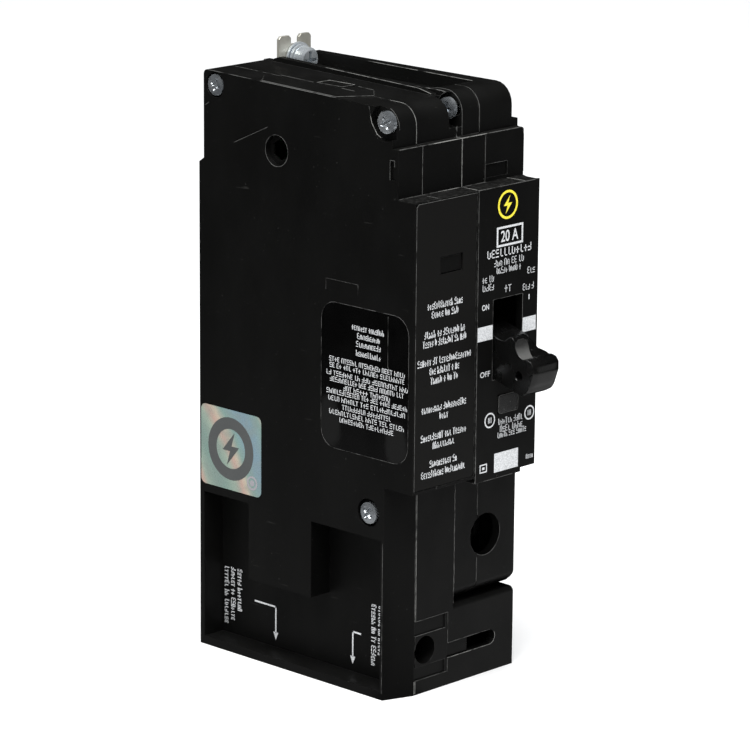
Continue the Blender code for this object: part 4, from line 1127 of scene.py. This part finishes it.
def make_handle(paints):
    """The lever, with its painted thumb rest and its nose."""
    lever = rounded_copy(
        "handle_lever", "handle", 0.55, paints["handle_plastic"], segments=4, angle=22, body="handle"
    )
    make_thumb_rest(paints)
    make_handle_nose(paints)


def make_thumb_rest(paints):
    """A painted sheet on the left half of the lever's concave top: round above, narrower below."""
    centre, radius, lift, sink = (25.6, 8.6), 4.6, 0.06, -0.2
    left, right_top, right_low = 7.3, 12.7, 10.9
    first, last, steps = 191.0, 284.0, 20
    even_share, round_share, round_depth = 0.35, 1 / 3.5, 0.85
    arcs = [arc_points(centre, radius - depth, first, last, steps) for depth in (lift, sink)]
    shape = bmesh.new()
    rows = []
    for i, points in enumerate(zip(*arcs)):
        part = i / steps
        narrowed = max(0.0, part - even_share) / (1 - even_share)
        right = right_top + (right_low - right_top) * narrowed
        ends = math.sqrt(1 - round_depth * max(0.0, 1 - part / round_share) ** 2)
        middle, half = (left + right) / 2, (right - left) / 2 * ends
        row = []
        for point in points:
            for j in range(5):
                row.append(shape.verts.new(handle_point(middle + half * (j / 2 - 1), *point)))
        rows.append(row[:5] + row[:4:-1])
    skin(shape, rows)
    shape.faces.new(rows[0])
    shape.faces.new(rows[-1][::-1])
    patch = dress(from_bmesh("handle_thumb_rest", shape), paints["patch"], smooth_angle=40)
    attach(patch, "handle")


def along_profile(profile, share):
    """The point and the outward direction at a share of the profile's length."""
    lengths = [math.dist(first, second) for first, second in zip(profile, profile[1:])]
    rest, i = share * sum(lengths), 0
    while rest > lengths[i] and i < len(lengths) - 1:
        rest -= lengths[i]
        i += 1
    begin, finish = Vector(profile[i]), Vector(profile[i + 1])
    step = (finish - begin) / lengths[i]
    return begin + step * rest, Vector((step.y, -step.x))


def make_handle_nose(paints):
    """The swollen front of the lever, with a shallow groove along its lower part."""
    lower_half = ((27.6, -6.3), (28.9, -5.6), (29.8, -4.3), (30.2, -2.6))
    profile = (*lower_half, (30.3, 1.6), (29.6, 3.7), (28.3, 4.6))
    left, right, columns, steps = 7.5, 17.9, 15, 30
    swelling, groove, groove_place, groove_width = 0.55, 0.3, 0.36, 0.06
    overlap, inner_lift = 0.02, -0.5
    shape = bmesh.new()
    rows = []
    for i in range(steps + 1):
        part = i / steps
        point, outward = along_profile(profile, part)
        swell = swelling * math.sin(math.pi * part) ** 0.8 if 0 < part < 1 else 0.0
        swell -= groove * math.exp(-(((part - groove_place) / groove_width) ** 2))
        outer, inner = [], []
        for j in range(columns):
            side = 2 * j / (columns - 1) - 1
            x = (left + right) / 2 + side * (right - left) / 2
            lift = swell * (1 - abs(side) ** 6) + overlap
            outer.append(shape.verts.new(handle_point(x, *(point + lift * outward))))
            inner.append(shape.verts.new(handle_point(x, *(point + inner_lift * outward))))
        rows.append(outer + inner[::-1])
    skin(shape, rows)
    for row in (rows[0], rows[-1]):
        for j in range(columns - 1):
            shape.faces.new((row[j], row[j + 1], row[-2 - j], row[-1 - j]))
    nose = dress(from_bmesh("handle_nose", shape), paints["handle_plastic"], smooth_angle=60)
    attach(nose, "handle")


# ---------------- the scene
PAINTS = make_materials()
make_camera()
make_stage()
for step in (
    dress_cad_nodes, make_shells, make_screw_heads, make_handle, make_sticker, make_top_pad,
    make_face_film, seam_traces, rim_traces, print_test_label, print_side_label, print_recess,
    print_breaker_face,
):
    step(PAINTS)
